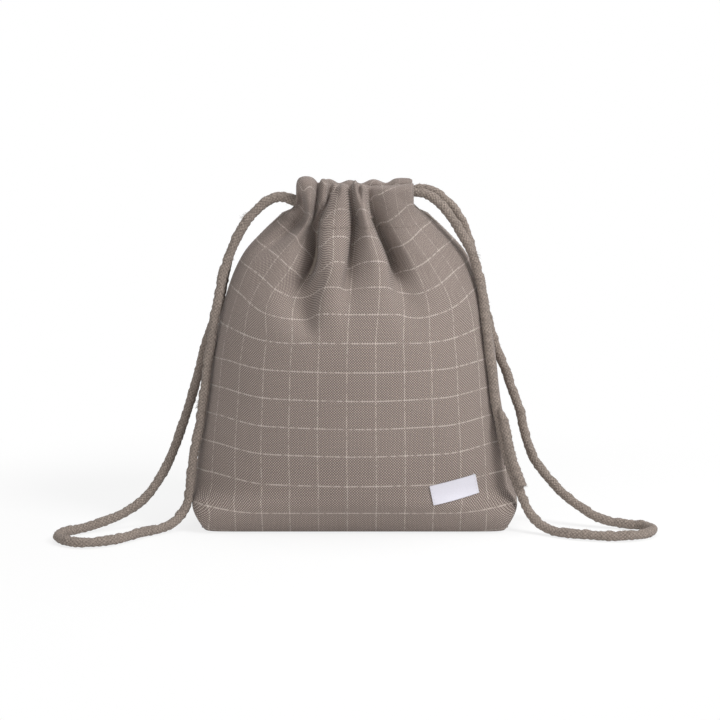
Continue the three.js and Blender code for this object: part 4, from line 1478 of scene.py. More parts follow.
    def _skeleton(self, face: Face) -> tuple[np.ndarray, np.ndarray, np.ndarray]:
        """Heights, places across and depths of the columns at the lines across a panel."""
        gathers = self.gathers(face)
        heights, across, depths = [], [], []
        for height in (self.smooth_below - self.smooth_lead, self.smooth_below):
            place = self.section(height, self.shares)
            heights.append(height)
            across.append(place[:, 0])
            depths.append(place[:, 1])
        for line in (gathers.low, gathers.high):
            x, valley = line.at(self.cloth)
            wide, deep = self.outline(line.height)
            round_depth = float(deep) * np.sqrt(np.maximum(0.0, 1.0 - (x / float(wide)) ** 2))
            heights.append(line.height)
            across.append(x)
            depths.append(np.maximum(round_depth - valley, 0.0))
        for line in (gathers.foot, gathers.middle, gathers.top):
            x, depth = line.at(self.cloth)
            heights.append(line.height)
            across.append(x)
            depths.append(depth)
        return np.array(heights), np.array(across), np.array(depths)

    def _lift(self, level: np.ndarray) -> np.ndarray:
        """How much higher than its level each column lies, since the slits start higher."""
        sides = 1.0 - ease(0.0, self.slit_share, self.from_side)
        rise = (self.slit_foot - self.neck) * sides
        up = ease(self.lift_from, self.neck, level)
        up = up * (1.0 - ease(self.neck, self.lift_until, level))
        return up[:, None] * rise[None, :]

    def _uneven(self, face: Face, height: float) -> np.ndarray:
        """Small unevenness of the filling under a panel at a height."""
        rng = np.random.default_rng(self.filling_seed + int(face is Face.BACK))
        bulge = np.zeros(self.columns + 1)
        for _ in range(self.filling_waves):
            across, up = rng.uniform(*self.filling_across), rng.uniform(*self.filling_up)
            phase, turn = rng.uniform(0.0, ANY_PHASE, 2)
            wave = np.sin(2 * math.pi * across * self.shares + phase)
            bulge += wave * math.sin(up * height + turn)
        inner = ease(*self.filling_side, self.from_side)
        return self.filling_bumps * bulge * inner * float(ease(*self.filling_foot, height))

    def designed_wall(self, face: Face) -> np.ndarray:
        """Wall of a panel before the simulation, its rows evenly spaced up each column.

        Args:
            face: The panel.

        Returns:
            Points, rows by columns.
        """
        levels = np.linspace(0.0, self.neck, self.fine_rows)
        fine = np.empty((len(levels), self.columns + 1, 3))
        low = levels <= self.smooth_below
        for i in np.flatnonzero(low):
            place = self.section(float(levels[i]), self.shares)
            fine[i, :, :2] = place
        heights, across, depths = self._skeleton(face)
        end = self.at_end
        for lines in (across, depths):
            lines[5] += (lines[4] + self.overrun * (lines[4] - lines[3]) - lines[5]) * end
        fine[~low, :, 0] = through(heights, across, levels[~low])
        fine[~low, :, 1] = np.maximum(through(heights, depths, levels[~low]), 0.0)
        fine[:, :, 1] += np.array([self._uneven(face, float(h)) for h in levels])
        fine[:, :, 2] = levels[:, None] + self._lift(levels)
        # The side columns follow the outline of the photograph exactly.
        wide, _ = self.outline(fine[:, 0, 2])
        reach = np.maximum(np.abs(fine[:, :1, 0]), 1e-6)
        grow = (np.where(low, np.abs(fine[:, 0, 0]), wide) / reach[:, 0])[:, None] - 1.0
        grow *= (1.0 - ease(self.outline_until, self.neck, levels))[:, None]
        fine[:, :, 0] *= 1.0 + grow * (fine[:, :, 0] / reach) ** 2
        fine[:, [0, -1], 1] = 0.0
        fine[:, :, 1] *= face.value
        leaning = np.sin(math.pi * np.clip(levels / self.lean_height, 0.0, 1.0))
        fine[:, :, 0] -= self.lean * leaning[:, None]
        grid = np.empty((self.rows + 1, self.columns + 1, 3))
        for c in range(self.columns + 1):
            length = walked(fine[:, c])
            grid[:, c] = spaced(fine[:, c], np.linspace(0.0, length[-1], self.rows + 1))
        return grid

    def _up_cloth(self, grid: np.ndarray) -> np.ndarray:
        """Length up the cloth at every point of a wall.

        Args:
            grid: Points of the wall, rows by columns.

        Returns:
            Lengths from the foot. Over the boxed corners they are those of the middle column,
            towards the sides the cloth is drawn up a little, and the gathers twist the shoulders.
        """
        middle = grid[:, self.columns // 2]
        low = np.interp(grid[..., 2], middle[:, 2], walked(middle))
        steps = np.linalg.norm(np.diff(grid, axis=0), axis=2)
        share = ease(self.boxed_below, self.boxed_below + self.box_blend, grid[1:, :, 2])
        steps = steps * share + np.diff(low, axis=0) * (1.0 - share)
        lengths = np.vstack([np.zeros((1, self.columns + 1)), np.cumsum(steps, axis=0)])
        drawn = ease(*self.drawn_zone, lengths)
        drawn = drawn - self.let_out * ease(*self.let_out_zone, lengths)
        rise = self.side_rise * (1.0 - ease(*self.side_zone, self.from_side))
        far = np.abs(self.cloth)
        twisted = self.twist * (self.twist_middle - far) * ease(*self.twist_across, far)
        twisted = twisted[None, :] * ease(*self.twist_up, lengths)
        return lengths - self.foot_ease * drawn - rise[None, :] + twisted

    def _joined(self, walls: dict[Face, np.ndarray]) -> tuple[np.ndarray, dict[Face, np.ndarray]]:
        """Points of both walls sewn along the sides.

        Args:
            walls: The designed wall of each panel.

        Returns:
            All points, and for each panel the point number at each row and column.
        """
        front, back = walls[Face.FRONT], walls[Face.BACK]
        rows, columns = front.shape[:2]
        numbers = {Face.FRONT: np.arange(rows * columns).reshape(rows, columns)}
        inner = np.arange(rows * (columns - 2)).reshape(rows, columns - 2) + rows * columns
        first, last = numbers[Face.FRONT][:, :1], numbers[Face.FRONT][:, -1:]
        numbers[Face.BACK] = np.hstack([first, inner, last])
        points = np.vstack([front.reshape(-1, 3), back[:, 1:-1].reshape(-1, 3)])
        return points, numbers

    def shape(self) -> None:
        """Shapes the walls and the outside of the casings, and eases one into the other."""
        self.simulate()
        for face in Face:
            self.rises[face] = self._casing_rise(face)
            self._ease_foot(face)

    def simulate(self) -> None:
        """Fills and settles the cloth by a simulation with spare cloth and pressure."""
        designed = {face: self.designed_wall(face) for face in Face}
        for face, grid in designed.items():
            self.lengths[face] = self._up_cloth(grid)
        points, numbers = self._joined(designed)
        faces = []
        for face in Face:
            number = numbers[face]
            quads = np.stack(
                [number[:-1, :-1], number[:-1, 1:], number[1:, 1:], number[1:, :-1]], -1
            ).reshape(-1, 4)
            faces.append(quads if face is Face.FRONT else quads[:, ::-1])
        mesh = bpy.data.meshes.new("settling_cloth")
        mesh.from_pydata((points * self.sim_scale).tolist(), [], np.vstack(faces).tolist())
        cloth = bpy.data.objects.new("settling_cloth", mesh)
        bpy.context.collection.objects.link(cloth)
        self._pin(cloth, points, numbers)
        self._cloth_settings(cloth)
        for step in range(1, self.sim_frames + 1):
            bpy.context.scene.frame_set(step)
        settled = cloth.evaluated_get(bpy.context.evaluated_depsgraph_get())
        places = np.empty(len(points) * 3)
        settled.data.vertices.foreach_get("co", places)
        moved = places.reshape(-1, 3) / self.sim_scale - points
        bpy.context.scene.frame_set(1)
        bpy.data.objects.remove(cloth)
        far = np.linalg.norm(moved, axis=1)
        LOG.info("cloth settled by %.1f mm, %.1f mm at most", far.mean() * 1e3, far.max() * 1e3)
        moved *= np.minimum(1.0, self.most_moved / np.maximum(far, 1e-9))[:, None]
        for face in Face:
            self.walls[face] = (points + moved)[numbers[face]]

    def _pin(
        self, cloth: bpy.types.Object, points: np.ndarray, numbers: dict[Face, np.ndarray]
    ) -> None:
        """Holds the foot, the sides and the casing's foot fast, and the rest of the wall lightly.

        Args:
            cloth: The sewn walls.
            points: Places of their points.
            numbers: Point number at each row and column of each panel.
        """
        weight = np.full(len(points), self.hold)
        side = 1.0 - ease(0.0, self.held_side, self.from_side)
        for number in numbers.values():
            weight[number] = np.maximum(weight[number], self.side_hold * side[None, :])
            weight[number[:, 0]] = weight[number[:, -1]] = 1.0
            weight[number[0]] = weight[number[-1]] = 1.0
        group = cloth.vertex_groups.new(name="held")
        for i, w in enumerate(weight):
            group.add([i], float(w), "REPLACE")

    def _cloth_settings(self, cloth: bpy.types.Object) -> None:
        """Adds a cloth simulation of soft cotton to the sewn walls."""
        settle = cloth.modifiers.new("settle", "CLOTH")
        cotton = settle.settings
        cotton.quality = 8
        cotton.mass = 0.3
        cotton.tension_stiffness = cotton.compression_stiffness = 40.0
        cotton.shear_stiffness = 20.0
        cotton.bending_model = "LINEAR"
        cotton.bending_stiffness = 0.5
        cotton.tension_damping = cotton.compression_damping = cotton.shear_damping = 15.0
        cotton.bending_damping = 2.0
        cotton.air_damping = 3.0
        cotton.vertex_group_mass = "held"
        cotton.pin_stiffness = 8.0
        cotton.shrink_min = -self.surplus
        cotton.use_pressure = True
        cotton.uniform_pressure_force = self.pressure
        cotton.effector_weights.gravity = 0.0
        touch = settle.collision_settings
        touch.use_collision = False
        touch.use_self_collision = True
        touch.self_distance_min = 0.001
        touch.self_friction = 5.0
        settle.point_cache.frame_start = 1
        settle.point_cache.frame_end = self.sim_frames + 2

    def _cloth_places(self, along: np.ndarray) -> np.ndarray:
        """Cloth coordinates of a grid from the length up the cloth at each point."""
        return np.stack([np.broadcast_to(self.cloth, along.shape), along], -1)

    def _straight_down(self, grid: np.ndarray, places: np.ndarray) -> None:
        """Lets the cloth run straight down over the boxed base, away from its corners.

        Args:
            grid: Points of a panel, rows by columns.
            places: Their cloth coordinates, changed in place.
        """
        middle = grid[:, self.columns // 2, 2]
        above = grid[int(np.argmax(middle > self.straight_below)), :, 0]
        across = np.interp(grid[..., 0], np.maximum.accumulate(above), self.cloth)
        full = self.straight_share * self.straight_below
        share = 1.0 - ease(full, self.straight_below, grid[..., 2])
        share = share * ease(*self.corner_zone, self.from_side)
        places[..., 0] += (across - places[..., 0]) * share

    def panel(self, face: Face, finish: bpy.types.Material) -> bpy.types.Object:
        """Makes one panel: its wall and its half of the base.

        Args:
            face: The panel.
            finish: Finish of the outer cloth.

        Returns:
            The panel.
        """
        wall = self.walls[face].copy()
        for columns, share in (([0, -1], 1.0), ([1, -2], self.seam_shoulder)):
            wall[:, columns, 0] -= np.sign(wall[:, columns, 0]) * self.seam_groove * share
        wall[0, :, 2] = self.floor_gap
        under = np.linspace(0.0, 1.0, self.base_rows + 1)[:-1]
        base = wall[0][None].repeat(len(under), 0)
        seam = face.value * self.seam_gap
        base[..., 1] = seam + (wall[0][None, :, 1] - seam) * under[:, None]
        base[..., 0] *= (1.0 - self.base_taper + self.base_taper * under**0.5)[:, None]
        base[..., 2] = self.floor_gap
        along = np.concatenate(
            [-np.abs(wall[0, :, 1])[None, :] * (1 - under)[:, None], self.lengths[face]]
        )
        name = f"{face.word}_panel"
        grid = np.concatenate([base, wall])
        places = self._cloth_places(along)
        self._straight_down(grid, places)
        piece = grid_piece(f"{name}_cloth", grid, places, face is Face.BACK)
        clean(piece)
        thicken(piece, self.thickness)
        dress(piece, finish, "pouch", name)
        return piece

    def _casing_rise(self, face: Face) -> np.ndarray:
        """Shapes the outside of one casing.

        Args:
            face: The panel.

        Returns:
            Points of the outside, rows by columns from its foot up, with their depths.
        """
        gathers = self.gathers(face)
        heights, across, depths = self._skeleton(face)
        end = self.at_end
        start = gathers.edge_at(self.cloth) - self.arch_rise
        foot = self.walls[face][-1]
        levels = np.linspace(self.neck, self.casing_top, self.casing_levels)
        lift = self._lift(levels)
        x_at, depth_at = np.empty_like(lift), np.empty_like(lift)
        for c in range(self.columns + 1):
            faster = self.neck + (levels - self.neck) * (1.0 + self.end_hurry * end[c])
            x_at[:, c] = through(heights[3:], across[3:, c], faster)
            depth_at[:, c] = through(heights[3:], depths[3:, c], faster)
        rows = [np.stack([foot[:, 0], np.abs(foot[:, 1]), foot[:, 2]], 1)]
        for t in np.linspace(0.0, 1.0, self.casing_rows)[1:]:
            row = np.empty((self.columns + 1, 3))
            for c in range(self.columns + 1):
                heights_here = levels + lift[:, c]
                height = foot[c, 2] + (start[c] - foot[c, 2]) * t
                row[c] = (
                    np.interp(height, heights_here, x_at[:, c]),
                    np.interp(height, heights_here, depth_at[:, c]),
                    height,
                )
            for dent in gathers.dents:
                near = ((self.cloth - dent.cloth) / dent.reach) ** 2
                near = near + ((row[:, 2] - dent.height) / dent.tall) ** 2
                row[:, 1] -= dent.depth * np.exp(-near)
            least = np.where(row[:, 2] > self.cord_level, self.cord_room, 0.0)
            row[:, 1] = np.maximum(row[:, 1], least)
            rows.append(row)
        return np.stack(rows)

    def _ease_foot(self, face: Face) -> None:
        """Smooths the cloth across the foot of one casing, where the settled wall meets it."""
        wall, rise = self.walls[face], self.rises[face]
        below, above = self.eased_below, self.eased_above
        joined = np.concatenate([wall[-below:], rise[1:above]])
        joined[:, :, 1] = np.abs(joined[:, :, 1])
        height = joined[:, :, 2]
        part = ((height[1:-1] - height[:-2]) / (height[2:] - height[:-2]))[..., None]
        inner = ease(0.0, self.eased_side, self.from_side)[None, :, None]
        for _ in range(self.easing_rounds):
            between = joined[:-2] + (joined[2:] - joined[:-2]) * part
            joined[1:-1] += self.easing_step * inner * (between - joined[1:-1])
        rise[:above] = joined[below - 1:]
        wall[-below:, :, 0] = joined[:below, :, 0]
        wall[-below:, :, 1] = face.value * joined[:below, :, 1]

    def casing(self, face: Face, finish: bpy.types.Material) -> bpy.types.Object:
        """Makes the hemmed casing of one panel: up the outside, over the top, down the inside.

        Args:
            face: The panel.
            finish: Finish of the outer cloth.

        Returns:
            The casing.
        """
        end = self.at_end
        edge = self.gathers(face).edge_at(self.cloth)
        start = edge - self.arch_rise
        foot = self.walls[face][-1]
        rows = list(self.rises[face])
        outer = rows[-1]
        ridge = np.clip((outer[:, 1] - self.cord_room) / self.ridge_depth, 0.0, 1.0)
        inner_depth = self.inner_depth - self.ridge_draw * ridge * (1 - end)
        half, middle = (outer[:, 1] - inner_depth) / 2, (outer[:, 1] + inner_depth) / 2
        for t in np.linspace(0.0, 1.0, self.arch_rows + 2)[1:-1]:
            rise = math.sin(math.pi * t) ** self.arch_power
            depth = middle + half * math.cos(math.pi * t)
            rows.append(np.stack([outer[:, 0], depth, start + (edge - start) * rise], 1))
        sewn = np.maximum(np.abs(foot[:, 1]) - self.hem_inset, 0.0)
        for t in np.linspace(0.0, 1.0, self.inner_rows):
            close = ease(*self.hem_zone, t) * (1 - end)
            height = start + (foot[:, 2] + self.hem_lift - start) * t
            depth = inner_depth * (1 - close) + sewn * close
            x = outer[:, 0] + (foot[:, 0] - outer[:, 0]) * close * self.hem_spread
            rows.append(np.stack([x * self.hem_width, depth, height], 1))
        grid = np.stack(rows)
        along = np.stack([walked(grid[:, c]) for c in range(self.columns + 1)], 1)
        grid[..., 1] *= face.value
        places = self._cloth_places(self.lengths[face][-1][None, :] + along)
        name = f"{face.word}_casing"
        piece = grid_piece(f"{name}_cloth", grid, places, face is Face.BACK)
        thicken(piece, self.thickness)
        dress(piece, finish, "pouch", name)
        return piece


@dataclass
class Lining:
    """Lining of the pouch, clear of the folds of the outer cloth."""

    shell: PouchShell
    foot: float = 0.0024
    top: float = 0.1655
    rows: int = 40
    base_rows: int = 4
    ends: Zone = (0.004, 0.996)
    inset: float = 0.0032
    clearance: float = 0.0022
    cast_from: float = 0.2
    base_taper: float = 0.03
    thickness: float = 0.0004
    seam_gap: float = 0.0004
    gather_zone: Zone = (0.096, 0.171)
    puckers: int = 9
    pucker_height: float = 0.0006
    fold_heights: tuple[float, ...] = (0.0, 0.095, 0.126, 0.146, 0.167)
    fold_depths: tuple[float, ...] = (0.0, 0.001, 0.009, 0.016, 0.014)
    flat_foot: float = -0.02
    flat_top: float = 0.178
    flat_height: float = 0.198
    flat_share: float = 0.8

    def _room(self, face: Face, wall: BVHTree, across: np.ndarray, height: float) -> np.ndarray:
        """Greatest depth of the lining inside the outer cloth at places across the pouch."""
        room = np.full(len(across), 1.0)
        for i, x in enumerate(across):
            start = Vector((x, face.value * self.cast_from, height))
            hit = wall.ray_cast(start, Vector((0.0, -face.value, 0.0)))[0]
            if hit is not None:
                room[i] = abs(hit.y) - self.clearance
        return room

    def build(
        self, face: Face, panel: bpy.types.Object, finish: bpy.types.Material
    ) -> bpy.types.Object:
        """Makes the lining of one panel, clear of the folds of the outer cloth.

        Args:
            face: The panel.
            panel: The finished panel, which the lining stays inside.
            finish: Finish of the lining.

        Returns:
            The lining.
        """
        wall = BVHTree.FromObject(panel, bpy.context.evaluated_depsgraph_get())
        heights = np.linspace(self.foot, self.top, self.rows)
        shares = np.linspace(*self.ends, self.shell.columns // 2 + 1)
        grid = np.empty((len(heights), len(shares), 3))
        clear = through(np.array(self.fold_heights), np.array(self.fold_depths), heights)
        for i, height in enumerate(heights):
            place = self.shell.section(float(height), shares, self.inset)
            deep = place[:, 1].max()
            gather = float(ease(*self.gather_zone, height))
            wave = self.pucker_height * gather * np.sin(2 * math.pi * self.puckers * shares)
            grid[i, :, 0] = place[:, 0]
            depth = place[:, 1] * max(0.0, deep - clear[i]) / deep + wave
            grid[i, :, 1] = np.minimum(depth, self._room(face, wall, grid[i, :, 0], height))
            grid[i, :, 2] = height
        grid[:, :, 1] = face.value * np.maximum(grid[:, :, 1], self.seam_gap)
        under = np.linspace(0.0, 1.0, self.base_rows + 1)[:-1]
        base = grid[0][None].repeat(len(under), 0)
        seam = face.value * self.seam_gap
        base[..., 1] = seam + (grid[0][None, :, 1] - seam) * under[:, None]
        base[..., 0] *= (1.0 - self.base_taper + self.base_taper * under)[:, None]
        grid = np.concatenate([base, grid])
        width = self.shell.flat_width
        places = np.empty((*grid.shape[:2], 2))
        places[..., 0] = ((shares - 0.5) * width)[None, :]
        places[..., 1] = np.linspace(self.flat_foot, self.flat_top, len(grid))[:, None]
        name = f"{face.word}_lining"
        piece = grid_piece(f"{name}_cloth", grid, places, face is Face.BACK)
        clean(piece)
        thicken(piece, self.thickness)
        dress(piece, finish, "pouch", name)
        return piece


# ---------------------------------------------------------------------------------------------
# Sewing and label


@dataclass(frozen=True)
class Stitch:
    """Size of the stitches of a row, and how they lie.

    Args:
        length: Length of a stitch.
        pitch: Distance between the middles of two stitches.
        thread: Thickness of the thread.
        turned: Whether the stitches lie across the row.
    """

    length: float
    pitch: float
    thread: float = 0.00045
    turned: bool = False
    facets: int = 8
    bend_at: float = 0.32
    end_from: float = 0.45
    end_dip: float = 0.7
    dive_reach: float = 0.12
    dive_depth: float = 0.5
    dive_width: float = 0.6

    def model(self) -> bpy.types.Object:
        """Models one stitch along X, at the origin, whose ends dive into the cloth."""
        length, thickness = self.length, self.thread
        bpy.ops.object.select_all(action="DESELECT")
        bpy.ops.mesh.primitive_cylinder_add(
            vertices=self.facets,
            radius=thickness / 2,
            depth=length,
            rotation=(0.0, math.pi / 2, 0.0),
        )
        stitch = bpy.context.object
        stitch.name = "stitch"
        bpy.ops.object.transform_apply(location=True, rotation=True, scale=True)
        stitch.data.uv_layers[0].name = CLOTH_UV
        bpy.ops.object.mode_set(mode="EDIT")
        for place in (-self.bend_at * length, self.bend_at * length):
            bpy.ops.mesh.select_all(action="SELECT")
            bpy.ops.mesh.bisect(plane_co=(place, 0.0, 0.0), plane_no=(1.0, 0.0, 0.0))
        bpy.ops.object.mode_set(mode="OBJECT")
        for side in (-1.0, 1.0):
            for face in stitch.data.polygons:
                face.select = side * face.center.x > self.end_from * length
            bpy.ops.object.mode_set(mode="EDIT")
            bpy.ops.mesh.select_mode(type="FACE")
            bpy.ops.transform.translate(value=(0.0, 0.0, -self.end_dip * thickness))
            dive = (side * self.dive_reach * length, 0.0, -self.dive_depth * thickness)
            bpy.ops.mesh.extrude_region_move(TRANSFORM_OT_translate={"value": dive})
            bpy.ops.transform.resize(value=(1.0, self.dive_width, self.dive_width))
            bpy.ops.mesh.select_all(action="DESELECT")
            bpy.ops.object.mode_set(mode="OBJECT")
        bpy.ops.object.shade_smooth()
        return stitch


@dataclass
class Sewing:
    """Rows of stitches, each copied from one stitch that is modelled by hand."""

    finish: bpy.types.Material
    look_ahead: float = 0.0008

    def _row(self, name: str, places: Sequence[Matrix], stitch: Stitch) -> bpy.types.Object:
        """Copies a stitch to each place and joins the copies.

        Args:
            name: Name of the row.
            places: Where each stitch goes.
            stitch: The stitch to copy.

        Returns:
            The row, at the origin.
        """
        pattern = stitch.model()
        copies = []
        for place in places:
            copy = pattern.copy()
            copy.data = pattern.data.copy()
            copy.data.transform(place)
            bpy.context.collection.objects.link(copy)
            copies.append(copy)
        bpy.data.objects.remove(pattern)
        select_only(copies[0])
        for copy in copies:
            copy.select_set(True)
        bpy.ops.object.join()
        row = bpy.context.object
        row.name = row.data.name = name
        return row

    def _along(self, line: np.ndarray, outward: np.ndarray, stitch: Stitch) -> list[Matrix]:
        """Places of stitches along a line on the cloth.

        Args:
            line: Points of the line.
            outward: Direction away from the cloth at each point.
            stitch: Size of the stitches.

        Returns:
            One place a stitch.
        """
        length = walked(line)
        middle = np.arange(stitch.pitch / 2, length[-1], stitch.pitch)
        points = spaced(line, middle)
        ahead = spaced(line, np.minimum(middle + self.look_ahead, length[-1])) - points
        away = np.stack([np.interp(middle, length, outward[:, k]) for k in range(3)], 1)
        places = []
        for point, direction, normal in zip(points, ahead, away):
            z = Vector(normal).normalized()
            x = Vector(direction)
            x = (x - z * x.dot(z)).normalized()
            y = z.cross(x)
            if stitch.turned:
                x, y = y, -x
            place = Matrix((x, y, z)).transposed().to_4x4()
            place.translation = Vector(point)
            places.append(place)
        return places

    def sew(
        self,
        node: str,
        line: np.ndarray,
        outward: np.ndarray,
        stitch: Stitch,
        body: str = "pouch",
    ) -> bpy.types.Object:
        """Sews one row along a line on the cloth.

        Args:
            node: CAD node that the row replaces.
            line: Points of the line.
            outward: Direction away from the cloth at each point.
            stitch: Size of the stitches.
            body: Body that the row rides on.

        Returns:
            The row.
        """
        row = self._row(f"{node}_thread", self._along(line, outward, stitch), stitch)
        return dress(row, self.finish, body, node)


@dataclass
class PouchSewing(Sewing):
    """All the sewing on the outer cloth."""

    lift: float = 0.0001
    casing_trim: int = 4
    corner_lift: float = 0.0002
    corner_reach: float = 0.07
    corner_gap: float = 0.0004
    bottom_reach: float = 0.075
    bottom_height: float = 0.0005
    tack_lift: float = 0.0002
    tack_rows: int = 4
    tack_column: int = 3
    tail_start: int = 5
    groove_lift: float = 0.0013
    casing: Stitch = Stitch(0.0026, 0.0034)
    side: Stitch = Stitch(0.0014, 0.0024, 0.00036, turned=True)
    bottom: Stitch = Stitch(0.0024, 0.0032)
    corner: Stitch = Stitch(0.0022, 0.003)
    tail: Stitch = Stitch(0.003, 0.0026, turned=True)
    tack: Stitch = Stitch(0.0017, 0.00042, turned=True)

    def _outward(self, wall: np.ndarray, row: int) -> np.ndarray:
        """Outward direction of a wall along one of its rows."""
        across = np.gradient(wall[row], axis=0)
        up = wall[row] - wall[row - 1]
        away = np.cross(across, up)
        away *= np.sign(away[:, 1] * wall[row, :, 1] + 1e-12)[:, None]
        return unit(away)

    def _sideways(self, line: np.ndarray, across: np.ndarray | Point, hand: Hand) -> np.ndarray:
        """Direction out of the cloth towards one side, along a line up it.

        Args:
            line: Points of the line.
            across: Direction across the line in the cloth.
            hand: Side that the cloth looks to.

        Returns:
            One direction a point.
        """
        away = np.cross(np.gradient(line, axis=0), across)
        return unit(away * np.sign(away[:, 0] * hand.value)[:, None])

    def casing_row(self, shell: PouchShell, face: Face) -> bpy.types.Object:
        """Sews the foot of one casing."""
        wall = shell.walls[face]
        trim = slice(self.casing_trim, -self.casing_trim)
        away = self._outward(wall, -2)
        line = (wall[-2] + away * self.lift)[trim]
        return self.sew(f"{face.word}_casing_stitch", line, away[trim], self.casing)

    def side_row(self, shell: PouchShell, hand: Hand) -> bpy.types.Object:
        """Sews the two panels together along one side."""
        column = 0 if hand is Hand.LEFT else -1
        line = shell.walls[Face.FRONT][1:, column].copy()
        line[:, 0] -= hand.value * shell.seam_groove
        away = self._sideways(line, (0.0, 1.0, 0.0), hand)
        return self.sew(f"{hand.word}_side_seam", line, away, self.side)

    def bottom_row(self) -> bpy.types.Object:
        """Sews the two halves of the base together."""
        across = np.linspace(-self.bottom_reach, self.bottom_reach, 60)
        line = np.array([(x, 0.0, self.bottom_height) for x in across])
        away = np.tile((0.0, 0.0, -1.0), (len(line), 1))
        return self.sew("bottom_seam", line, away, self.bottom)

    def corner_row(self, shell: PouchShell, hand: Hand) -> bpy.types.Object:
        """Sews across one boxed corner, at the foot of the side."""
        name = f"{hand.word}_corner_seam"
        _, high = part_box(name)
        whole = np.vstack([shell.walls[face][1] for face in Face])
        outer = whole[:, 0] * hand.value > self.corner_reach
        ends = whole[outer & (np.abs(whole[:, 1]) < high[1])]
        line = ends[np.argsort(ends[:, 1])].copy()
        line = line[np.concatenate([[True], np.diff(line[:, 1]) > self.corner_gap])]
        line[:, 0] += hand.value * self.corner_lift
        away = np.tile((hand.value, 0.0, 0.2), (len(line), 1))
        return self.sew(name, line, away, self.corner)

    def tail_row(self, tail: CordTail) -> bpy.types.Object:
        """Sews the cut end of the right cord across the groove beside its strand."""
        strand = smooth_route(tail.strand[:3], 0.001)
        beside = np.array(tail.beside)
        away = unit(np.cross(np.gradient(strand, axis=0), beside))
        line = strand + beside / 2 + away * self.groove_lift
        part = slice(self.tail_start, None)
        return self.sew("right_tail_seam", line[part], away[part], self.tail, "right_loop")

    def bartack(self, shell: PouchShell, face: Face, hand: Hand) -> bpy.types.Object:
        """Sews a bar tack of close bars beside the foot of a side slit.

        Args:
            shell: The cloth that it holds.
            face: Panel that it is on.
            hand: Side that it is on.

        Returns:
            The bar tack.
        """
        foot = shell.walls[face][-self.tack_rows:]
        inward = 1 if hand is Hand.LEFT else -1
        column = self.tack_column if hand is Hand.LEFT else -1 - self.tack_column
        line = foot[:, column]
        away = self._sideways(line, foot[:, column + inward] - line, hand)
        line = line + away * self.tack_lift
        return self.sew(f"{face.word}_{hand.word}_bartack", line, away, self.tack)


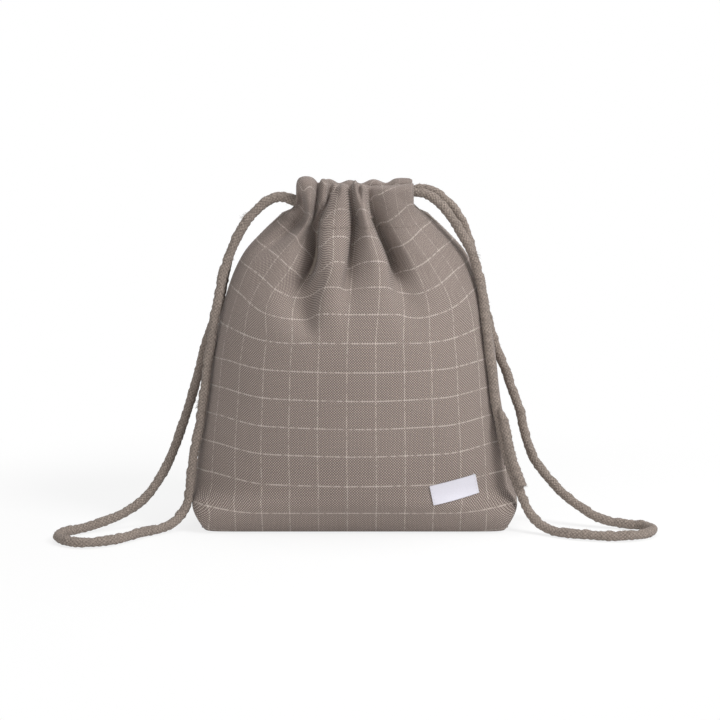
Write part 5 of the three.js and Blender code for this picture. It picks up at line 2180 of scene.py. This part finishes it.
@dataclass
class SewnLabel(Sewing):
    """Blank woven label on the lower right of the front, sewn down at its two ends."""

    width: float = 0.026
    height: float = 0.0115
    middle_x: float = 0.0533
    middle_z: float = 0.0250
    tilt: float = 12.0
    before: float = -0.09
    thickness: float = 0.0004
    lift: float = 0.0003
    edge_width: float = 0.00012
    edge_angle: float = 50.0
    stitch_inset: float = 0.0012
    stitch_lift: float = 0.00005
    stitch: Stitch = Stitch(0.0015, 0.0019, 0.00032)

    def build(
        self, cloth: bpy.types.Object, satin: bpy.types.Material
    ) -> list[bpy.types.Object]:
        """Models the label on the cloth.

        Args:
            cloth: The front panel.
            satin: Finish of the label.

        Returns:
            The label and its two rows of sewing.
        """
        bpy.ops.object.select_all(action="DESELECT")
        bpy.ops.mesh.primitive_grid_add(x_subdivisions=40, y_subdivisions=14, size=1.0)
        label = bpy.context.object
        label.name = label.data.name = "label_satin"
        label.data.uv_layers[0].name = CLOTH_UV
        bpy.ops.object.mode_set(mode="EDIT")
        bpy.ops.mesh.select_all(action="SELECT")
        bpy.ops.transform.resize(value=(self.width, self.height, 1.0))
        bpy.ops.object.mode_set(mode="OBJECT")
        uvs = label.data.uv_layers[0].data
        for loop in label.data.loops:
            uvs[loop.index].uv = label.data.vertices[loop.vertex_index].co.xy
        stand = Matrix.Rotation(math.pi / 2, 4, "X")
        turn = Matrix.Rotation(math.radians(-self.tilt), 4, "Y")
        place = Matrix.Translation((self.middle_x, self.before, self.middle_z))
        label.data.transform(place @ turn @ stand)
        wrap = label.modifiers.new("on_cloth", "SHRINKWRAP")
        wrap.target = cloth
        wrap.wrap_method = "PROJECT"
        wrap.use_project_y = True
        wrap.use_positive_direction = True
        wrap.use_negative_direction = False
        wrap.use_project_x = wrap.use_project_z = False
        wrap.offset = self.lift + self.thickness
        relax = label.modifiers.new("relax", "SMOOTH")
        relax.factor, relax.iterations = 0.5, 6
        wall = label.modifiers.new("wall", "SOLIDIFY")
        wall.thickness, wall.offset = self.thickness, -1.0
        edge = label.modifiers.new("edge", "BEVEL")
        edge.width, edge.segments, edge.limit_method = self.edge_width, 2, "ANGLE"
        apply_modifiers(label)
        bpy.ops.object.shade_smooth_by_angle(angle=math.radians(self.edge_angle))
        dress(label, satin, "pouch", "label")
        return [label, *(self._end_row(label, hand) for hand in Hand)]

    def _end_row(self, label: bpy.types.Object, hand: Hand) -> bpy.types.Object:
        """Sews down one end of the label."""
        tree = BVHTree.FromObject(label, bpy.context.evaluated_depsgraph_get())
        tilt = math.radians(self.tilt)
        along = hand.value * (self.width / 2 - self.stitch_inset)
        line, away = [], []
        for up in np.linspace(-0.5, 0.5, 12) * (self.height - self.stitch_inset):
            x = self.middle_x + along * math.cos(tilt) - up * math.sin(tilt)
            z = self.middle_z + along * math.sin(tilt) + up * math.cos(tilt)
            start = Vector((x, self.before, z))
            place, normal, _, _ = tree.ray_cast(start, Vector((0.0, 1.0, 0.0)))
            if place is not None:
                line.append(place + normal * self.stitch_lift)
                away.append(normal)
        name = f"label_{hand.word}_stitch"
        return self.sew(name, np.array(line), np.array(away), self.stitch)


# ---------------------------------------------------------------------------------------------


def report(*made: bpy.types.Object) -> None:
    """Logs the name and the size of each piece's mesh."""
    for piece in made:
        LOG.info("%s: %d faces", piece.name, len(piece.data.polygons))


def main() -> None:
    """Builds the studio, the cords, the cloth, the lining and the sewing, in that order."""
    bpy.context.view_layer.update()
    studio = Studio()
    studio.camera()
    report(studio.floor())
    studio.light()

    cotton = BraidedCotton().material()
    left = Drawcord(Hand.LEFT, 0.1769, LEFT_ROUTE, length=0.576, fuzz=LEFT_FUZZ)
    right = Drawcord(Hand.RIGHT, 0.1827, RIGHT_ROUTE, length=0.576, fuzz=RIGHT_FUZZ)
    for cord in (left, right):
        report(*cord.loop(cotton), cord.run(cotton))
    tail = CordTail()
    report(*tail.build(right, cotton))

    shell = PouchShell()
    shell.shape()
    checked, plain = CheckedCloth().material(), LiningCloth().material()
    panels = {face: shell.panel(face, checked) for face in Face}
    lining = Lining(shell)
    for face, panel in panels.items():
        report(panel, shell.casing(face, checked), lining.build(face, panel, plain))

    # The second colour of a thread is the painted shade between its plies.
    taupe = SewingThread("taupe_thread", shade(148, 136, 128), shade(110, 99, 92)).material()
    sewing = PouchSewing(taupe)
    for face in Face:
        report(sewing.casing_row(shell, face))
    for hand in Hand:
        report(sewing.side_row(shell, hand), sewing.corner_row(shell, hand))
    report(sewing.bottom_row(), sewing.tail_row(tail))
    for face in Face:
        for hand in Hand:
            report(sewing.bartack(shell, face, hand))

    # The second colour of a thread is the painted shade between its plies.
    white = SewingThread("white_thread", shade(226, 224, 230), shade(176, 174, 182)).material()
    report(*SewnLabel(white).build(panels[Face.FRONT], WovenLabel().material()))


if __name__ == "__main__":
    logging.basicConfig(level=logging.INFO, format="%(name)s: %(message)s")
    main()
